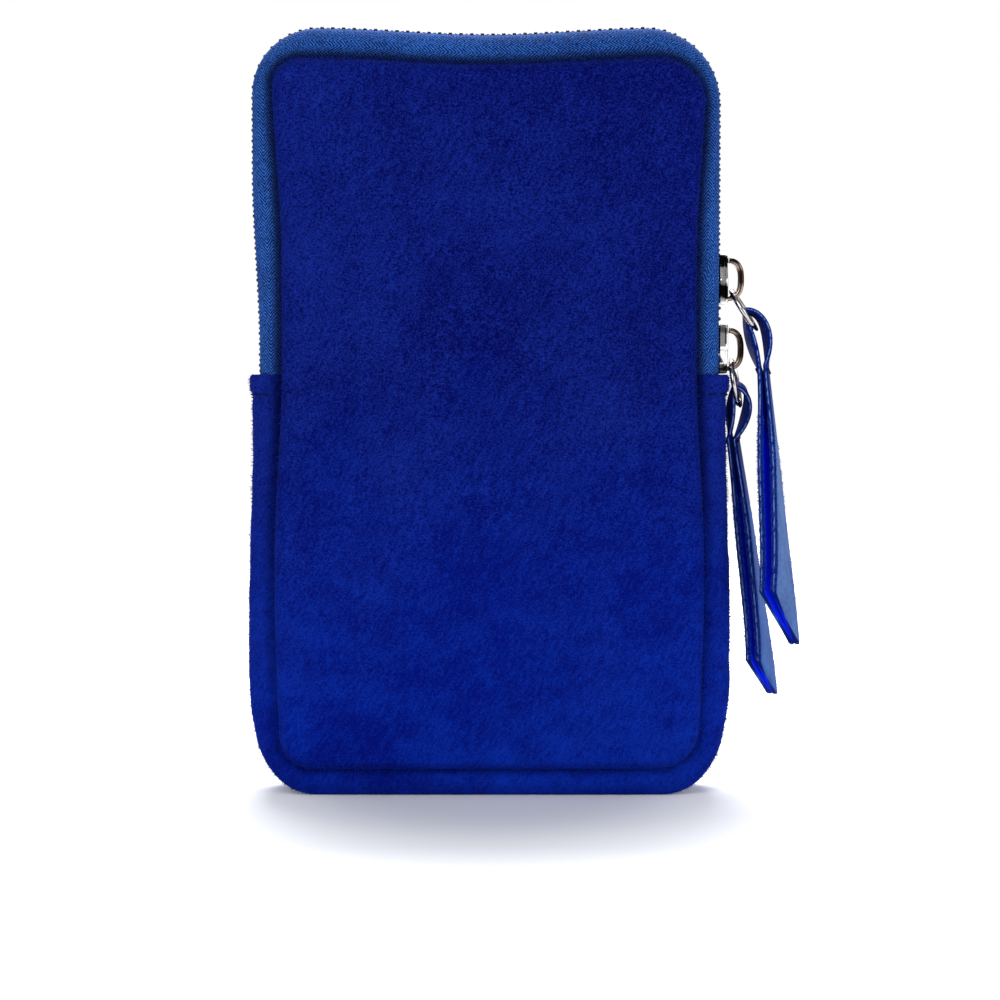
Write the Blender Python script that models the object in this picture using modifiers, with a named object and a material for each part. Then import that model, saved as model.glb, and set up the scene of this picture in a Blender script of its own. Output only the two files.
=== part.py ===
"""Suede crossbody pouch with a two-slider zip, standing on its base.

Two crowned suede panels are seamed to a band that runs right round the pouch. The lower part
of the band is a U-shaped suede gusset with hemmed ends, and the upper part is a zip with two
sliders set head to head on the right side, each with a ring and a folded strip to pull it by.

Metres, +Z up, X to the right, Y away from the viewer, origin at the middle of the base.
"""
from math import cos, pi, radians, sin, sqrt

import bmesh
import bpy
import numpy as np
from mathutils import Matrix, Vector

MM = 0.001

# Clearance between neighbouring pieces, and how far fused or cutting shapes run past each other
CLEARANCE = 0.3 * MM
OVERRUN = 0.2 * MM
MERGE = 0.01 * MM

# Seam between a panel and the band, seen from the front, with its waist just above the hem
HEM_HEIGHT = 98.4 * MM
SEAM_HALF_WIDTH_TOP = 50.4 * MM
WAIST_INSET = 2.1 * MM
BASE_INSET = 0.2 * MM
WAIST_RISE = 1.6 * MM
WAIST_LENGTH = 25 * MM
WAIST_EASE = 45 * MM
SEAM_BASE = 7.0 * MM
SEAM_TOP = 171.5 * MM
SEAM_HALF_DEPTH = 11.0 * MM
SEAM_CORNERS_TOP = (11 * MM, 7 * MM)
SEAM_CORNERS_BASE = (10 * MM, 8 * MM)
SEAM_ALLOWANCE = 5.0 * MM

# Suede panels
SUEDE = 1.2 * MM
EDGE_ROLL = 2.2 * MM
CROWN = 3.0 * MM
CROWN_POWER = 2.2
PANEL_RING_SHARES = (0.86, 0.6, 0.3)

# Suede gusset, seen from the front at the middle of its depth
HEM_LENGTH = 3.0 * MM
HEM_EASE = 3.0 * MM
HEM_OUTSIDE_TAPE = 2.45 * MM
GUSSET_OUTSIDE_TAPE = 1.75 * MM
GUSSET_OUTSIDE_BASE_SEAM = 6.2 * MM
GUSSET_WIDE_BELOW = 40 * MM
GUSSET_EASE = 45 * MM
BASE_CORNER = 14 * MM
BASE_TUCK = 2.6 * MM
BASE_TUCK_BELOW = 26 * MM
BASE_TUCK_EASE = 22 * MM
BASE_FLAT_HALF_DEPTH = 8.0 * MM

# Zip: tape, teeth and end stops
TAPE = 0.5 * MM
TAPE_OUTSIDE_SEAM = 3.15 * MM
TAPE_ABOVE_SEAM = 7.55 * MM
ZIP_CORNER = 16 * MM
TOP_SAG = 1.5 * MM
SAG_REACH = 40 * MM
BAND_FLAT_HALF_DEPTH = 6.0 * MM
TONGUE_HALF_DEPTH = 7.4 * MM
TONGUE_LENGTH = 8.4 * MM
TOOTH_PITCH = 2.5 * MM
TOOTH_HALF_HEIGHT = 1.2 * MM
TOOTH_ROOT = 2.9 * MM
TOOTH_HEAD = 0.7 * MM
RAIL_INNER = 1.9 * MM
RAIL_INSET = 0.2 * MM
RAIL_HALF_HEIGHT = 0.55 * MM
CHAIN_TUCK = 3.2 * MM
CHAIN_STEPS = 24
STOP_LENGTH = 1.5 * MM
STOP_HALF_HEIGHT = 0.9 * MM
STOP_BEVEL = 0.3 * MM

# Sliders, measured from the end that faces the other slider
SLIDER_LENGTH = 11.4 * MM
SLIDER_SPACING = 16.4 * MM
WING = 1.0 * MM
FLANGE = 0.9 * MM
SHOULDER_LENGTH = 5.4 * MM
NARROW_FROM = 9.0 * MM
TAIL_CHAMFER = 0.6 * MM
POST_HALF_WIDTH = 0.6 * MM
POST_LENGTH = 5.2 * MM
POST_SHOULDER = 2.6 * MM
SLIDER_BEVEL = 0.3 * MM

# Hook on each slider that holds its ring
HOOK_STRIP = 1.4 * MM
HOOK_WIDTH = 2.6 * MM
HOOK_REACH = 4.2 * MM
HOOK_HALF_LENGTH = 5.2 * MM
HOOK_CORNER = 2.6 * MM
LUG = 0.45 * MM

# Rings and pull strips
RING_RADIUS = 5.25 * MM
RING_WIRE = 0.65 * MM
RING_FOLD_OFFSET = 0.35 * MM
UPPER_RING_LEAN = 32
LOWER_RING_LEAN = 10
PULL_YAW = 10
UPPER_YAW_END = 35
LOWER_YAW_END = 26
PULL_FAN = 8
STRIP = 1.1 * MM
STRIP_LEG = 1.4 * MM
STRIP_SPREAD_SHARE = 0.45
STRIP_FOLD_WIDTH = 6.6 * MM
STRIP_NECK_WIDTH = 8.0 * MM
STRIP_END_WIDTH = 14.0 * MM
STRIP_NEAR_LENGTH = 53 * MM
STRIP_FAR_LENGTH = 64 * MM
NECK_GAP = 0.35 * MM
UPPER_END_GAP = 1.35 * MM
LOWER_END_GAP = 0.75 * MM
UPPER_NECK = (1.94 * MM, -9.3 * MM)
LOWER_NECK = (-1.6 * MM, -7.6 * MM)
UPPER_LOOP_BULGE = (0.4 * MM, 3.2 * MM)
LOWER_LOOP_BULGE = (0.5 * MM, 2.9 * MM)
UPPER_STRIP_DRIFT = 4.9 * MM
LOWER_STRIP_DRIFT = 6.8 * MM
DRIFT_POWER = 1.2
LEG_STEPS = 6
STRIP_COLUMN_SHARES = (-1.0, -0.33, 0.33, 1.0)

# Strap loops and D-rings behind the top corners
LOOP_INSET = 18.4 * MM
LOOP_WIDTH = 10 * MM
LOOP_DROP = 13.8 * MM
LOOP_START = 70
D_WIRE = 1.0 * MM
D_HALF_WIDTH = 6.6 * MM
D_HEIGHT = 9.5 * MM
D_CORNER = 1.6 * MM
D_BEND_START = 60

# Heights and half widths that follow from the sizes above
WAIST_FROM = HEM_HEIGHT + WAIST_RISE
WAIST_TO = WAIST_FROM + WAIST_LENGTH
SEAM_HALF_WIDTH_WAIST = SEAM_HALF_WIDTH_TOP - WAIST_INSET
SEAM_HALF_WIDTH_BASE = SEAM_HALF_WIDTH_TOP - BASE_INSET
TAPE_HALF_WIDTH = SEAM_HALF_WIDTH_TOP + TAPE_OUTSIDE_SEAM
ZIP_TOP = SEAM_TOP + TAPE_ABOVE_SEAM
HEM_HALF_WIDTH = TAPE_HALF_WIDTH + HEM_OUTSIDE_TAPE
GUSSET_HALF_WIDTH_NARROW = TAPE_HALF_WIDTH + GUSSET_OUTSIDE_TAPE
GUSSET_HALF_WIDTH_WIDE = SEAM_HALF_WIDTH_BASE + GUSSET_OUTSIDE_BASE_SEAM

COLOURS = {
    "suede": ((0.003, 0.012, 0.21), 0.0, 0.95),
    "tape": ((0.012, 0.055, 0.27), 0.0, 0.8),
    "teeth": ((0.01, 0.02, 0.09), 0.0, 0.5),
    "nickel": ((0.22, 0.21, 0.2), 1.0, 0.2),
    "strip": ((0.03, 0.1, 0.4), 0.0, 0.7),
}

for old in list(bpy.data.objects):
    bpy.data.objects.remove(old, do_unlink=True)

POUCH = bpy.data.collections.new("crossbody_pouch")
CUTTERS = bpy.data.collections.new("cutters")
for collection in (POUCH, CUTTERS):
    bpy.context.scene.collection.children.link(collection)


def material(name, finish):
    """A Principled material with the finish's colour, metallic value and roughness."""
    colour, metallic, roughness = COLOURS[finish]
    made = bpy.data.materials.new(name)
    made.use_nodes = True
    shader = made.node_tree.nodes["Principled BSDF"]
    shader.inputs["Base Color"].default_value = (*colour, 1.0)
    shader.inputs["Metallic"].default_value = metallic
    shader.inputs["Roughness"].default_value = roughness
    made.diffuse_color = (*colour, 1.0)
    return made


def place(name, mesh, finish, collection=POUCH):
    """A named object with its own material, in its collection."""
    piece = bpy.data.objects.new(name, mesh)
    collection.objects.link(piece)
    mesh.materials.clear()
    mesh.materials.append(material(name, finish))
    return piece


def make_cutter(piece):
    """Hides a shape that only cuts or joins another."""
    piece.hide_render = True
    piece.display_type = "WIRE"
    return piece


def grid_mesh(name, rows, closed=False, flip=False):
    """A quad surface through rows of points; closed joins each row's last point to its first."""
    count, width = rows.shape[:2]
    number = np.arange(count * width).reshape(count, width)
    across = np.roll(number, -1, axis=1) if closed else number[:, 1:]
    here = number if closed else number[:, :-1]
    quads = np.stack([here[:-1], across[:-1], across[1:], here[1:]], axis=-1).reshape(-1, 4)
    if flip:
        quads = quads[:, ::-1]
    mesh = bpy.data.meshes.new(name)
    mesh.from_pydata(rows.reshape(-1, 3).tolist(), [], quads.tolist())
    mesh.update()
    return mesh


def thicken(piece, thickness, offset=-1.0):
    """Gives an open surface its thickness, inwards unless the offset says otherwise."""
    solid = piece.modifiers.new("thickness", "SOLIDIFY")
    solid.thickness = thickness
    solid.offset = offset
    solid.use_even_offset = True
    solid.use_quality_normals = True
    return piece


def combine(piece, other, operation):
    """A Boolean of the piece with another shape, which stays as a hidden cutter."""
    step = piece.modifiers.new(other.name, "BOOLEAN")
    step.operation = operation
    step.object = other
    step.solver = "EXACT"


def ease(value):
    """Smooth step from 0 to 1."""
    held = np.clip(value, 0, 1)
    return held * held * (3 - 2 * held)


def seam_half_width(height):
    """Half the panel's width at a height: wide at the top and base, narrow at the waist."""
    above = ease((height - WAIST_TO) / WAIST_EASE)
    below = ease((WAIST_FROM - height) / WAIST_EASE)
    rise = (SEAM_HALF_WIDTH_TOP - SEAM_HALF_WIDTH_WAIST) * above
    return SEAM_HALF_WIDTH_WAIST + rise + (SEAM_HALF_WIDTH_BASE - SEAM_HALF_WIDTH_WAIST) * below


def gusset_half_width(height):
    """Half the gusset's width at a height: proud at the hem, then swelling towards the base."""
    hem = ease((height - HEM_HEIGHT + HEM_LENGTH + HEM_EASE) / HEM_EASE)
    low = ease((GUSSET_WIDE_BELOW + GUSSET_EASE - height) / GUSSET_EASE)
    proud = (HEM_HALF_WIDTH - GUSSET_HALF_WIDTH_NARROW) * hem
    swell = (GUSSET_HALF_WIDTH_WIDE - GUSSET_HALF_WIDTH_NARROW) * low
    tuck = BASE_TUCK * ease((BASE_TUCK_BELOW - height) / BASE_TUCK_EASE)
    return GUSSET_HALF_WIDTH_NARROW + proud + swell - tuck


def sag(across):
    """How far the top edge dips at a place across the pouch."""
    return TOP_SAG * 0.5 * (1 + np.cos(pi * np.clip(np.abs(across) / SAG_REACH, 0, 1)))


def arch(half_width, start, end, corners, side_shares, corner_steps, run_steps):
    """Half a rounded rectangle as (x, z) points.

    It leaves (half_width, start), turns a corner to the edge at height end, crosses it and
    comes back down the left side.
    """
    up = 1.0 if end > start else -1.0
    right, left = corners
    angles = np.linspace(0, pi / 2, corner_steps + 1)[1:-1]
    shares = np.array(side_shares)
    right_side = start + (end - up * right - start) * shares
    left_side = start + (end - up * left - start) * shares[::-1]
    run = np.linspace(half_width - right, left - half_width, run_steps + 1)
    xs = [
        np.full(len(shares), half_width),
        half_width - right + right * np.cos(angles),
        run,
        left - half_width - left * np.cos(angles[::-1]),
        np.full(len(shares), -half_width),
    ]
    zs = [
        right_side,
        end - up * right + up * right * np.sin(angles),
        np.full(len(run), end),
        end - up * left + up * left * np.sin(angles[::-1]),
        left_side,
    ]
    return np.stack([np.concatenate(xs), np.concatenate(zs)], axis=1)


def widened(points, half_width, rule):
    """Scales each point across by the rule's half width at its height."""
    scale = rule(points[:, 1]) / half_width
    return np.stack([points[:, 0] * scale, points[:, 1]], axis=1)


def sagged(points):
    """Lowers the points of an upper arch by the dip of the top edge."""
    return np.stack([points[:, 0], points[:, 1] - sag(points[:, 0])], axis=1)


def between(points, places):
    """Points of an outline at fractional places along its list."""
    index = np.arange(len(points))
    return np.stack([np.interp(places, index, points[:, k]) for k in (0, 1)], axis=1)


def outward(points):
    """Unit normals of an outline's points, away from the pouch's middle."""
    step = np.gradient(points, axis=0)
    step /= np.linalg.norm(step, axis=1)[:, None]
    normal = np.stack([step[:, 1], -step[:, 0]], axis=1)
    middle = np.array([0.0, (SEAM_BASE + SEAM_TOP) / 2])
    side = np.sign(np.sum(normal * (points - middle), axis=1))
    return normal * side[:, None]


# Stations along the band: shares of each straight side, and steps in the corners and runs
UPPER_SIDE_SHARES = (0.0, 0.25, 0.5, 0.75, 1.0)
LOWER_SIDE_SHARES = (0.0, 0.15, 0.4, 0.7, 1.0)
CORNER_STEPS = 4
TOP_STEPS = 6
BASE_STEPS = 4
UPPER_STATIONS = (UPPER_SIDE_SHARES, CORNER_STEPS, TOP_STEPS)
LOWER_STATIONS = (LOWER_SIDE_SHARES, CORNER_STEPS, BASE_STEPS)

seam_upper = sagged(
    widened(
        arch(SEAM_HALF_WIDTH_TOP, HEM_HEIGHT, SEAM_TOP, SEAM_CORNERS_TOP, *UPPER_STATIONS),
        SEAM_HALF_WIDTH_TOP,
        seam_half_width,
    )
)
seam_lower = widened(
    arch(SEAM_HALF_WIDTH_BASE, HEM_HEIGHT, SEAM_BASE, SEAM_CORNERS_BASE, *LOWER_STATIONS),
    SEAM_HALF_WIDTH_BASE,
    seam_half_width,
)
crest_upper = sagged(
    arch(TAPE_HALF_WIDTH, HEM_HEIGHT, ZIP_TOP, (ZIP_CORNER, ZIP_CORNER), *UPPER_STATIONS)
)
crest_lower = arch(HEM_HALF_WIDTH, HEM_HEIGHT, 0.0, (BASE_CORNER, BASE_CORNER), *LOWER_STATIONS)

# The two turned-in seam allowances lie side by side, half a clearance each side of the seam
SEAM_STEP = CLEARANCE / sqrt(2)
LIP_STEP = SEAM_ALLOWANCE / sqrt(2)

# Sliders on the straight right side, and the teeth rows parted by their posts
lower_slider_middle = HEM_HEIGHT + CLEARANCE + SLIDER_LENGTH / 2
upper_slider_middle = lower_slider_middle + SLIDER_SPACING
lower_head = lower_slider_middle + SLIDER_LENGTH / 2
upper_head = upper_slider_middle - SLIDER_LENGTH / 2
PARTING = TOOTH_HEAD + CLEARANCE + POST_HALF_WIDTH
CHAIN_HALF_WIDTH = TAPE_HALF_WIDTH - TAPE / 2
PARTING_HEIGHTS = (
    lower_head - NARROW_FROM,
    lower_head - SHOULDER_LENGTH,
    upper_head + SHOULDER_LENGTH,
    upper_head + NARROW_FROM,
)


def parting(points):
    """How far each row of teeth stands aside at points of the zip, between the two sliders."""
    apart = np.interp(points[:, 1], PARTING_HEIGHTS, (0.0, PARTING, PARTING, 0.0))
    return np.where(points[:, 0] > 0, apart, 0.0)


def panel(name, side):
    """A crowned suede panel: rolled edge, turned-in allowance, rings closing on the middle."""
    loop = np.concatenate([seam_upper, seam_lower[-2:0:-1]])
    normal = outward(np.concatenate([loop[-1:], loop, loop[:1]]))[1:-1]
    middle = np.array([0.0, (SEAM_BASE + SEAM_TOP) / 2])

    def ring(inset, depth):
        flat = loop - normal * inset
        return np.stack([flat[:, 0], np.full(len(flat), side * depth), flat[:, 1]], axis=1)

    rings = [
        ring(SEAM_STEP + LIP_STEP, SEAM_HALF_DEPTH - LIP_STEP),
        ring(SEAM_STEP, SEAM_HALF_DEPTH),
    ]
    for angle in (radians(45), radians(90)):
        inset = SEAM_STEP + EDGE_ROLL * (1 - cos(angle))
        rings.append(ring(inset, SEAM_HALF_DEPTH + EDGE_ROLL * sin(angle)))
    edge = loop - normal * (SEAM_STEP + EDGE_ROLL)
    for share in PANEL_RING_SHARES:
        flat = middle + (edge - middle) * share
        depth = SEAM_HALF_DEPTH + EDGE_ROLL + CROWN * (1 - share**CROWN_POWER)
        rings.append(np.stack([flat[:, 0], np.full(len(flat), side * depth), flat[:, 1]], axis=1))
    mesh = grid_mesh(name, np.array(rings), closed=True, flip=side > 0)

    build = bmesh.new()
    build.from_mesh(mesh)
    build.verts.ensure_lookup_table()
    count = len(loop)
    inner = build.verts[-count:]
    depth = SEAM_HALF_DEPTH + EDGE_ROLL + CROWN
    hub = build.verts.new((middle[0], side * depth, middle[1]))
    for first, second in zip(inner, inner[1:] + inner[:1]):
        build.faces.new((second, first, hub) if side > 0 else (first, second, hub))
    build.to_mesh(mesh)
    build.free()
    return thicken(place(name, mesh, "suede"), SUEDE)


def band_rows(seam, crest, flat, depths, crossing):
    """Rows of points across the band at its stations.

    crossing holds (side, kind, value): an edge at a depth, the flat's edge, an angle on the
    rounded shoulder that falls to the seam, or the turned-in allowance.
    """
    normal = outward(seam)
    columns = []
    for side, kind, value in crossing:
        share = cos(value) if kind == "shoulder" else float(kind in ("edge", "flat"))
        place_on = seam + (crest - seam) * share
        depth = flat
        if kind == "edge":
            depth = value
        elif kind == "shoulder":
            depth = flat + (depths - flat) * sin(value)
        elif kind == "lip":
            place_on = seam - normal * LIP_STEP
            depth = depths - LIP_STEP
        depth = np.broadcast_to(depth, len(seam))
        columns.append(np.stack([place_on[:, 0], side * depth, place_on[:, 1]], axis=1))
    return np.stack(columns, axis=1)


SHOULDER = (radians(30), radians(60), radians(90))


def gusset():
    """The U-shaped suede band: flat along its middle, rounded down to both seams."""
    hem_places = np.interp(
        (HEM_HEIGHT - HEM_LENGTH, HEM_HEIGHT - HEM_LENGTH - HEM_EASE),
        crest_lower[1::-1, 1],
        (1.0, 0.0),
    )
    last = len(crest_lower) - 1
    places = np.sort(np.concatenate([np.arange(last + 1), hem_places, last - hem_places]))
    crest = widened(between(crest_lower, places), HEM_HALF_WIDTH, gusset_half_width)
    seam = between(seam_lower, places)
    low = ease(1 - crest[:, 1] / BASE_CORNER)
    flat = BAND_FLAT_HALF_DEPTH + (BASE_FLAT_HALF_DEPTH - BAND_FLAT_HALF_DEPTH) * low
    half = [(-1, "flat", 0.0)] + [(-1, "shoulder", angle) for angle in SHOULDER] + [(-1, "lip", 0.0)]
    crossing = half[::-1] + [(1, kind, value) for _, kind, value in half]
    rows = band_rows(seam, crest, flat, SEAM_HALF_DEPTH - SEAM_STEP, crossing)
    mesh = grid_mesh("bottom_gusset", rows, flip=True)
    return thicken(place("bottom_gusset", mesh, "suede"), SUEDE)


def tape(name, side):
    """One woven zip tape, from its row of teeth to the seam, with a tongue under each hem."""
    right = crest_upper[: len(UPPER_SIDE_SHARES)]
    parted = np.interp(PARTING_HEIGHTS, right[:, 1], np.arange(len(right)))
    places = np.sort(np.concatenate([np.arange(len(crest_upper)), parted]))
    crest = between(crest_upper, places)
    seam = between(seam_upper, places)
    drop = np.array([0.0, TONGUE_LENGTH])
    crest = np.concatenate([crest[:1] - drop, crest, crest[-1:] - drop])
    seam = np.concatenate([seam[:1] - drop, seam, seam[-1:] - drop])
    edge = TOOTH_ROOT + CLEARANCE + parting(crest)
    crossing = [(side, "edge", edge), (side, "flat", 0.0)]
    crossing += [(side, "shoulder", angle) for angle in SHOULDER] + [(side, "lip", 0.0)]
    rows = band_rows(seam, crest, BAND_FLAT_HALF_DEPTH, SEAM_HALF_DEPTH - SEAM_STEP, crossing)
    piece = thicken(place(name, grid_mesh(name, rows, flip=side < 0), "tape"), TAPE)
    for edge_side in (-1, 1):
        trim = tongue_trim(f"{name}_trim_{'left' if edge_side < 0 else 'right'}", side, edge_side)
        combine(piece, trim, "DIFFERENCE")
    return piece


def block(name, low, high, finish="tape", collection=CUTTERS):
    """A box between two corners."""
    mesh = bpy.data.meshes.new(name)
    build = bmesh.new()
    bmesh.ops.create_cube(build, size=1.0)
    low, high = Vector(low), Vector(high)
    size = high - low
    bmesh.ops.scale(build, vec=size, verts=build.verts)
    bmesh.ops.translate(build, vec=(low + high) / 2, verts=build.verts)
    build.to_mesh(mesh)
    build.free()
    return place(name, mesh, finish, collection)


def tongue_trim(name, side, edge_side):
    """What is cut off a tape under the hem, where the gusset takes over the seam."""
    seam = seam_half_width(HEM_HEIGHT)
    inner, lip, outer = seam - 2 * SEAM_ALLOWANCE, seam + SUEDE, HEM_HALF_WIDTH + SUEDE
    near, far = SEAM_HALF_DEPTH - SEAM_ALLOWANCE, SEAM_HALF_DEPTH + SEAM_ALLOWANCE
    corners = [(inner, near), (lip, near), (lip, TONGUE_HALF_DEPTH)]
    corners += [(outer, TONGUE_HALF_DEPTH), (outer, far), (inner, far)]
    outline = [(edge_side * x, side * y) for x, y in corners]
    low, high = HEM_HEIGHT - TONGUE_LENGTH - SUEDE, HEM_HEIGHT + CLEARANCE
    trim = plate(name, outline, high - low, LEVEL, "tape")
    trim.location.z = (low + high) / 2
    return make_cutter(trim)


def chain_path():
    """The line between the two rows of teeth: points, outward normals and distances along it."""
    start = HEM_HEIGHT - CHAIN_TUCK
    line = sagged(
        arch(
            CHAIN_HALF_WIDTH,
            start,
            ZIP_TOP - TAPE / 2,
            (ZIP_CORNER, ZIP_CORNER),
            np.linspace(0, 1, CHAIN_STEPS),
            CHAIN_STEPS,
            2 * CHAIN_STEPS,
        )
    )
    step = np.linalg.norm(np.diff(line, axis=0), axis=1)
    keep = np.concatenate([[True], step > MERGE])
    line = line[keep]
    along = np.concatenate([[0.0], np.cumsum(np.linalg.norm(np.diff(line, axis=0), axis=1))])
    return line, outward(line), along


def teeth(name, side):
    """One row of teeth on its rail, all one comb; the other row's teeth fall in its gaps."""
    line, normal, along = chain_path()
    half_tooth = (TOOTH_PITCH - 2 * CLEARANCE) / 4
    first = TOOTH_PITCH * (0.5 if side < 0 else 1.0)
    centres = np.arange(first, along[-1] - half_tooth, TOOTH_PITCH)
    rail = (RAIL_INNER, TOOTH_ROOT - RAIL_INSET, RAIL_HALF_HEIGHT)
    tooth = (-TOOTH_HEAD, TOOTH_ROOT, TOOTH_HALF_HEIGHT)
    stations = [(0.0, rail)]
    for centre in centres:
        low, high = centre - half_tooth, centre + half_tooth
        stations += [(low, rail), (low, tooth), (high, tooth), (high, rail)]
    stations.append((along[-1], rail))
    places = np.array([place_along for place_along, _ in stations])
    inner, outer, height = np.array([section for _, section in stations]).T
    points = np.stack([np.interp(places, along, line[:, k]) for k in (0, 1)], axis=1)
    normals = np.stack([np.interp(places, along, normal[:, k]) for k in (0, 1)], axis=1)
    normals /= np.linalg.norm(normals, axis=1)[:, None]
    apart = parting(points)
    corners = []
    for depth, lift in ((inner, height), (outer, height), (outer, -height), (inner, -height)):
        spot = points + normals * lift[:, None]
        corners.append(np.stack([spot[:, 0], side * (depth + apart), spot[:, 1]], axis=1))
    mesh = grid_mesh(name, np.stack(corners, axis=1), closed=True, flip=side < 0)
    build = bmesh.new()
    build.from_mesh(mesh)
    build.verts.ensure_lookup_table()
    ends = (build.verts[:4], build.verts[-4:][::-1])
    for end in ends:
        build.faces.new(end if side < 0 else end[::-1])
    bmesh.ops.recalc_face_normals(build, faces=build.faces)
    build.to_mesh(mesh)
    build.free()
    return place(name, mesh, "teeth")


def end_stop(name, edge_side):
    """The metal stop clamped over both rows at one end of the chain, under the hem."""
    high = HEM_HEIGHT - CHAIN_TUCK - CLEARANCE
    low = high - STOP_LENGTH
    inner, outer = CHAIN_HALF_WIDTH - STOP_HALF_HEIGHT, CHAIN_HALF_WIDTH + STOP_HALF_HEIGHT
    xs = sorted((edge_side * inner, edge_side * outer))
    stop = block(name, (xs[0], -TOOTH_ROOT, low), (xs[1], TOOTH_ROOT, high), "nickel", POUCH)
    round_edges(stop, STOP_BEVEL)
    return stop


def round_edges(piece, width):
    """Rounds a piece's sharp edges."""
    bevel = piece.modifiers.new("rounded edges", "BEVEL")
    bevel.width = width
    bevel.segments = 2
    bevel.limit_method = "ANGLE"
    bevel.angle_limit = radians(40)


def plate(name, outline, thickness, axes, finish, collection=CUTTERS):
    """A flat outline given a thickness; axes are the directions of its across, up and through."""
    curve = bpy.data.curves.new(name, "CURVE")
    curve.dimensions = "2D"
    curve.fill_mode = "BOTH"
    curve.extrude = thickness / 2
    spline = curve.splines.new("POLY")
    spline.points.add(len(outline) - 1)
    for point, (across, up) in zip(spline.points, outline):
        point.co = (across, up, 0.0, 1.0)
    spline.use_cyclic_u = True
    flat = bpy.data.objects.new(name, curve)
    CUTTERS.objects.link(flat)
    bpy.context.view_layer.update()
    graph = bpy.context.evaluated_depsgraph_get()
    mesh = bpy.data.meshes.new_from_object(flat.evaluated_get(graph))
    bpy.data.objects.remove(flat, do_unlink=True)
    build = bmesh.new()
    build.from_mesh(mesh)
    bmesh.ops.remove_doubles(build, verts=build.verts, dist=MERGE)
    bmesh.ops.dissolve_limit(build, angle_limit=radians(1), verts=build.verts, edges=build.edges)
    turn = Matrix([Vector(axis) for axis in axes]).transposed()
    bmesh.ops.transform(build, matrix=turn.to_4x4(), verts=build.verts)
    bmesh.ops.recalc_face_normals(build, faces=build.faces)
    build.to_mesh(mesh)
    build.free()
    return place(name, mesh, finish, collection)


LEVEL = ((1, 0, 0), (0, 1, 0), (0, 0, 1))
SIDE_ON = ((0, 1, 0), (0, 0, 1), (1, 0, 0))
EDGE_ON = ((1, 0, 0), (0, 0, 1), (0, -1, 0))


def arc(centre, radius, start, end, steps):
    """Points of an arc, angles in degrees."""
    angles = np.radians(np.linspace(start, end, steps + 1))
    return [(centre[0] + radius * cos(a), centre[1] + radius * sin(a)) for a in angles]


def hook_outline(face):
    """Side view of the hook: a D whose upper end stops just short of its lug."""
    knee = face + HOOK_REACH - HOOK_CORNER
    low, high = (knee, HOOK_CORNER - HOOK_HALF_LENGTH), (knee, HOOK_HALF_LENGTH - HOOK_CORNER)
    inner = HOOK_CORNER - HOOK_STRIP
    tip = face + LUG + CLEARANCE
    root = face - OVERRUN
    outline = [(root, -HOOK_HALF_LENGTH)]
    outline += arc(low, HOOK_CORNER, -90, 0, 4) + arc(high, HOOK_CORNER, 0, 90, 4)
    outline += [(tip, HOOK_HALF_LENGTH), (tip, HOOK_HALF_LENGTH - HOOK_STRIP)]
    outline += arc(high, inner, 90, 0, 3) + arc(low, inner, 0, -90, 3)
    outline.append((root, HOOK_STRIP - HOOK_HALF_LENGTH))
    return outline


def slider(name, middle, toward):
    """A cast slider: two wings joined by a wedge-shaped post, side flanges and a closed hook.

    toward is the direction along Z of the other slider, which the slider's wide end faces.
    """
    def along(distance):
        return toward * (SLIDER_LENGTH / 2 - distance)

    channel = TOOTH_HALF_HEIGHT + CLEARANCE
    face = channel + WING
    tail = TOOTH_ROOT + CLEARANCE
    head = tail + PARTING
    right = [
        (head + FLANGE, along(0.0)),
        (head + FLANGE, along(SHOULDER_LENGTH)),
        (tail + FLANGE, along(NARROW_FROM)),
        (tail + FLANGE, along(SLIDER_LENGTH - TAIL_CHAMFER)),
        (tail + FLANGE - TAIL_CHAMFER, along(SLIDER_LENGTH)),
    ]
    plan = right + [(-y, z) for y, z in right[::-1]]
    piece = plate(name, plan, 2 * face, SIDE_ON, "nickel", POUCH)
    round_edges(piece, SLIDER_BEVEL)
    reach = SLIDER_LENGTH + OVERRUN
    for side, word in ((-1, "front"), (1, "rear")):
        row = [
            (POST_HALF_WIDTH, along(-OVERRUN)),
            (POST_HALF_WIDTH, along(POST_SHOULDER)),
            (0.0, along(POST_LENGTH)),
            (-OVERRUN, along(POST_LENGTH + OVERRUN)),
            (-OVERRUN, along(reach)),
            (tail, along(reach)),
            (tail, along(NARROW_FROM)),
            (head, along(SHOULDER_LENGTH)),
            (head, along(-OVERRUN)),
        ]
        outline = [(side * y, z) for y, z in row]
        way = make_cutter(plate(f"{name}_{word}_way", outline, 2 * channel, SIDE_ON, "nickel"))
        slot_half = TAPE / 2 + CLEARANCE
        ys = sorted((side * TOOTH_ROOT, side * (head + FLANGE + OVERRUN)))
        half = SLIDER_LENGTH / 2 + OVERRUN
        slot = make_cutter(
            block(f"{name}_{word}_slot", (-slot_half, ys[0], -half), (slot_half, ys[1], half))
        )
        for cutter in (way, slot):
            cutter.location = (CHAIN_HALF_WIDTH, 0.0, middle)
            combine(piece, cutter, "DIFFERENCE")
    hook = make_cutter(plate(f"{name}_hook", hook_outline(face), HOOK_WIDTH, EDGE_ON, "nickel"))
    lug_low = (face - OVERRUN, -HOOK_WIDTH / 2, HOOK_HALF_LENGTH - HOOK_STRIP)
    lug_high = (face + LUG, HOOK_WIDTH / 2, HOOK_HALF_LENGTH)
    lug = make_cutter(block(f"{name}_lug", lug_low, lug_high))
    for joined in (hook, lug):
        joined.location = (CHAIN_HALF_WIDTH, 0.0, middle)
        combine(piece, joined, "UNION")
    piece.location = (CHAIN_HALF_WIDTH, 0.0, middle)
    return piece


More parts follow.
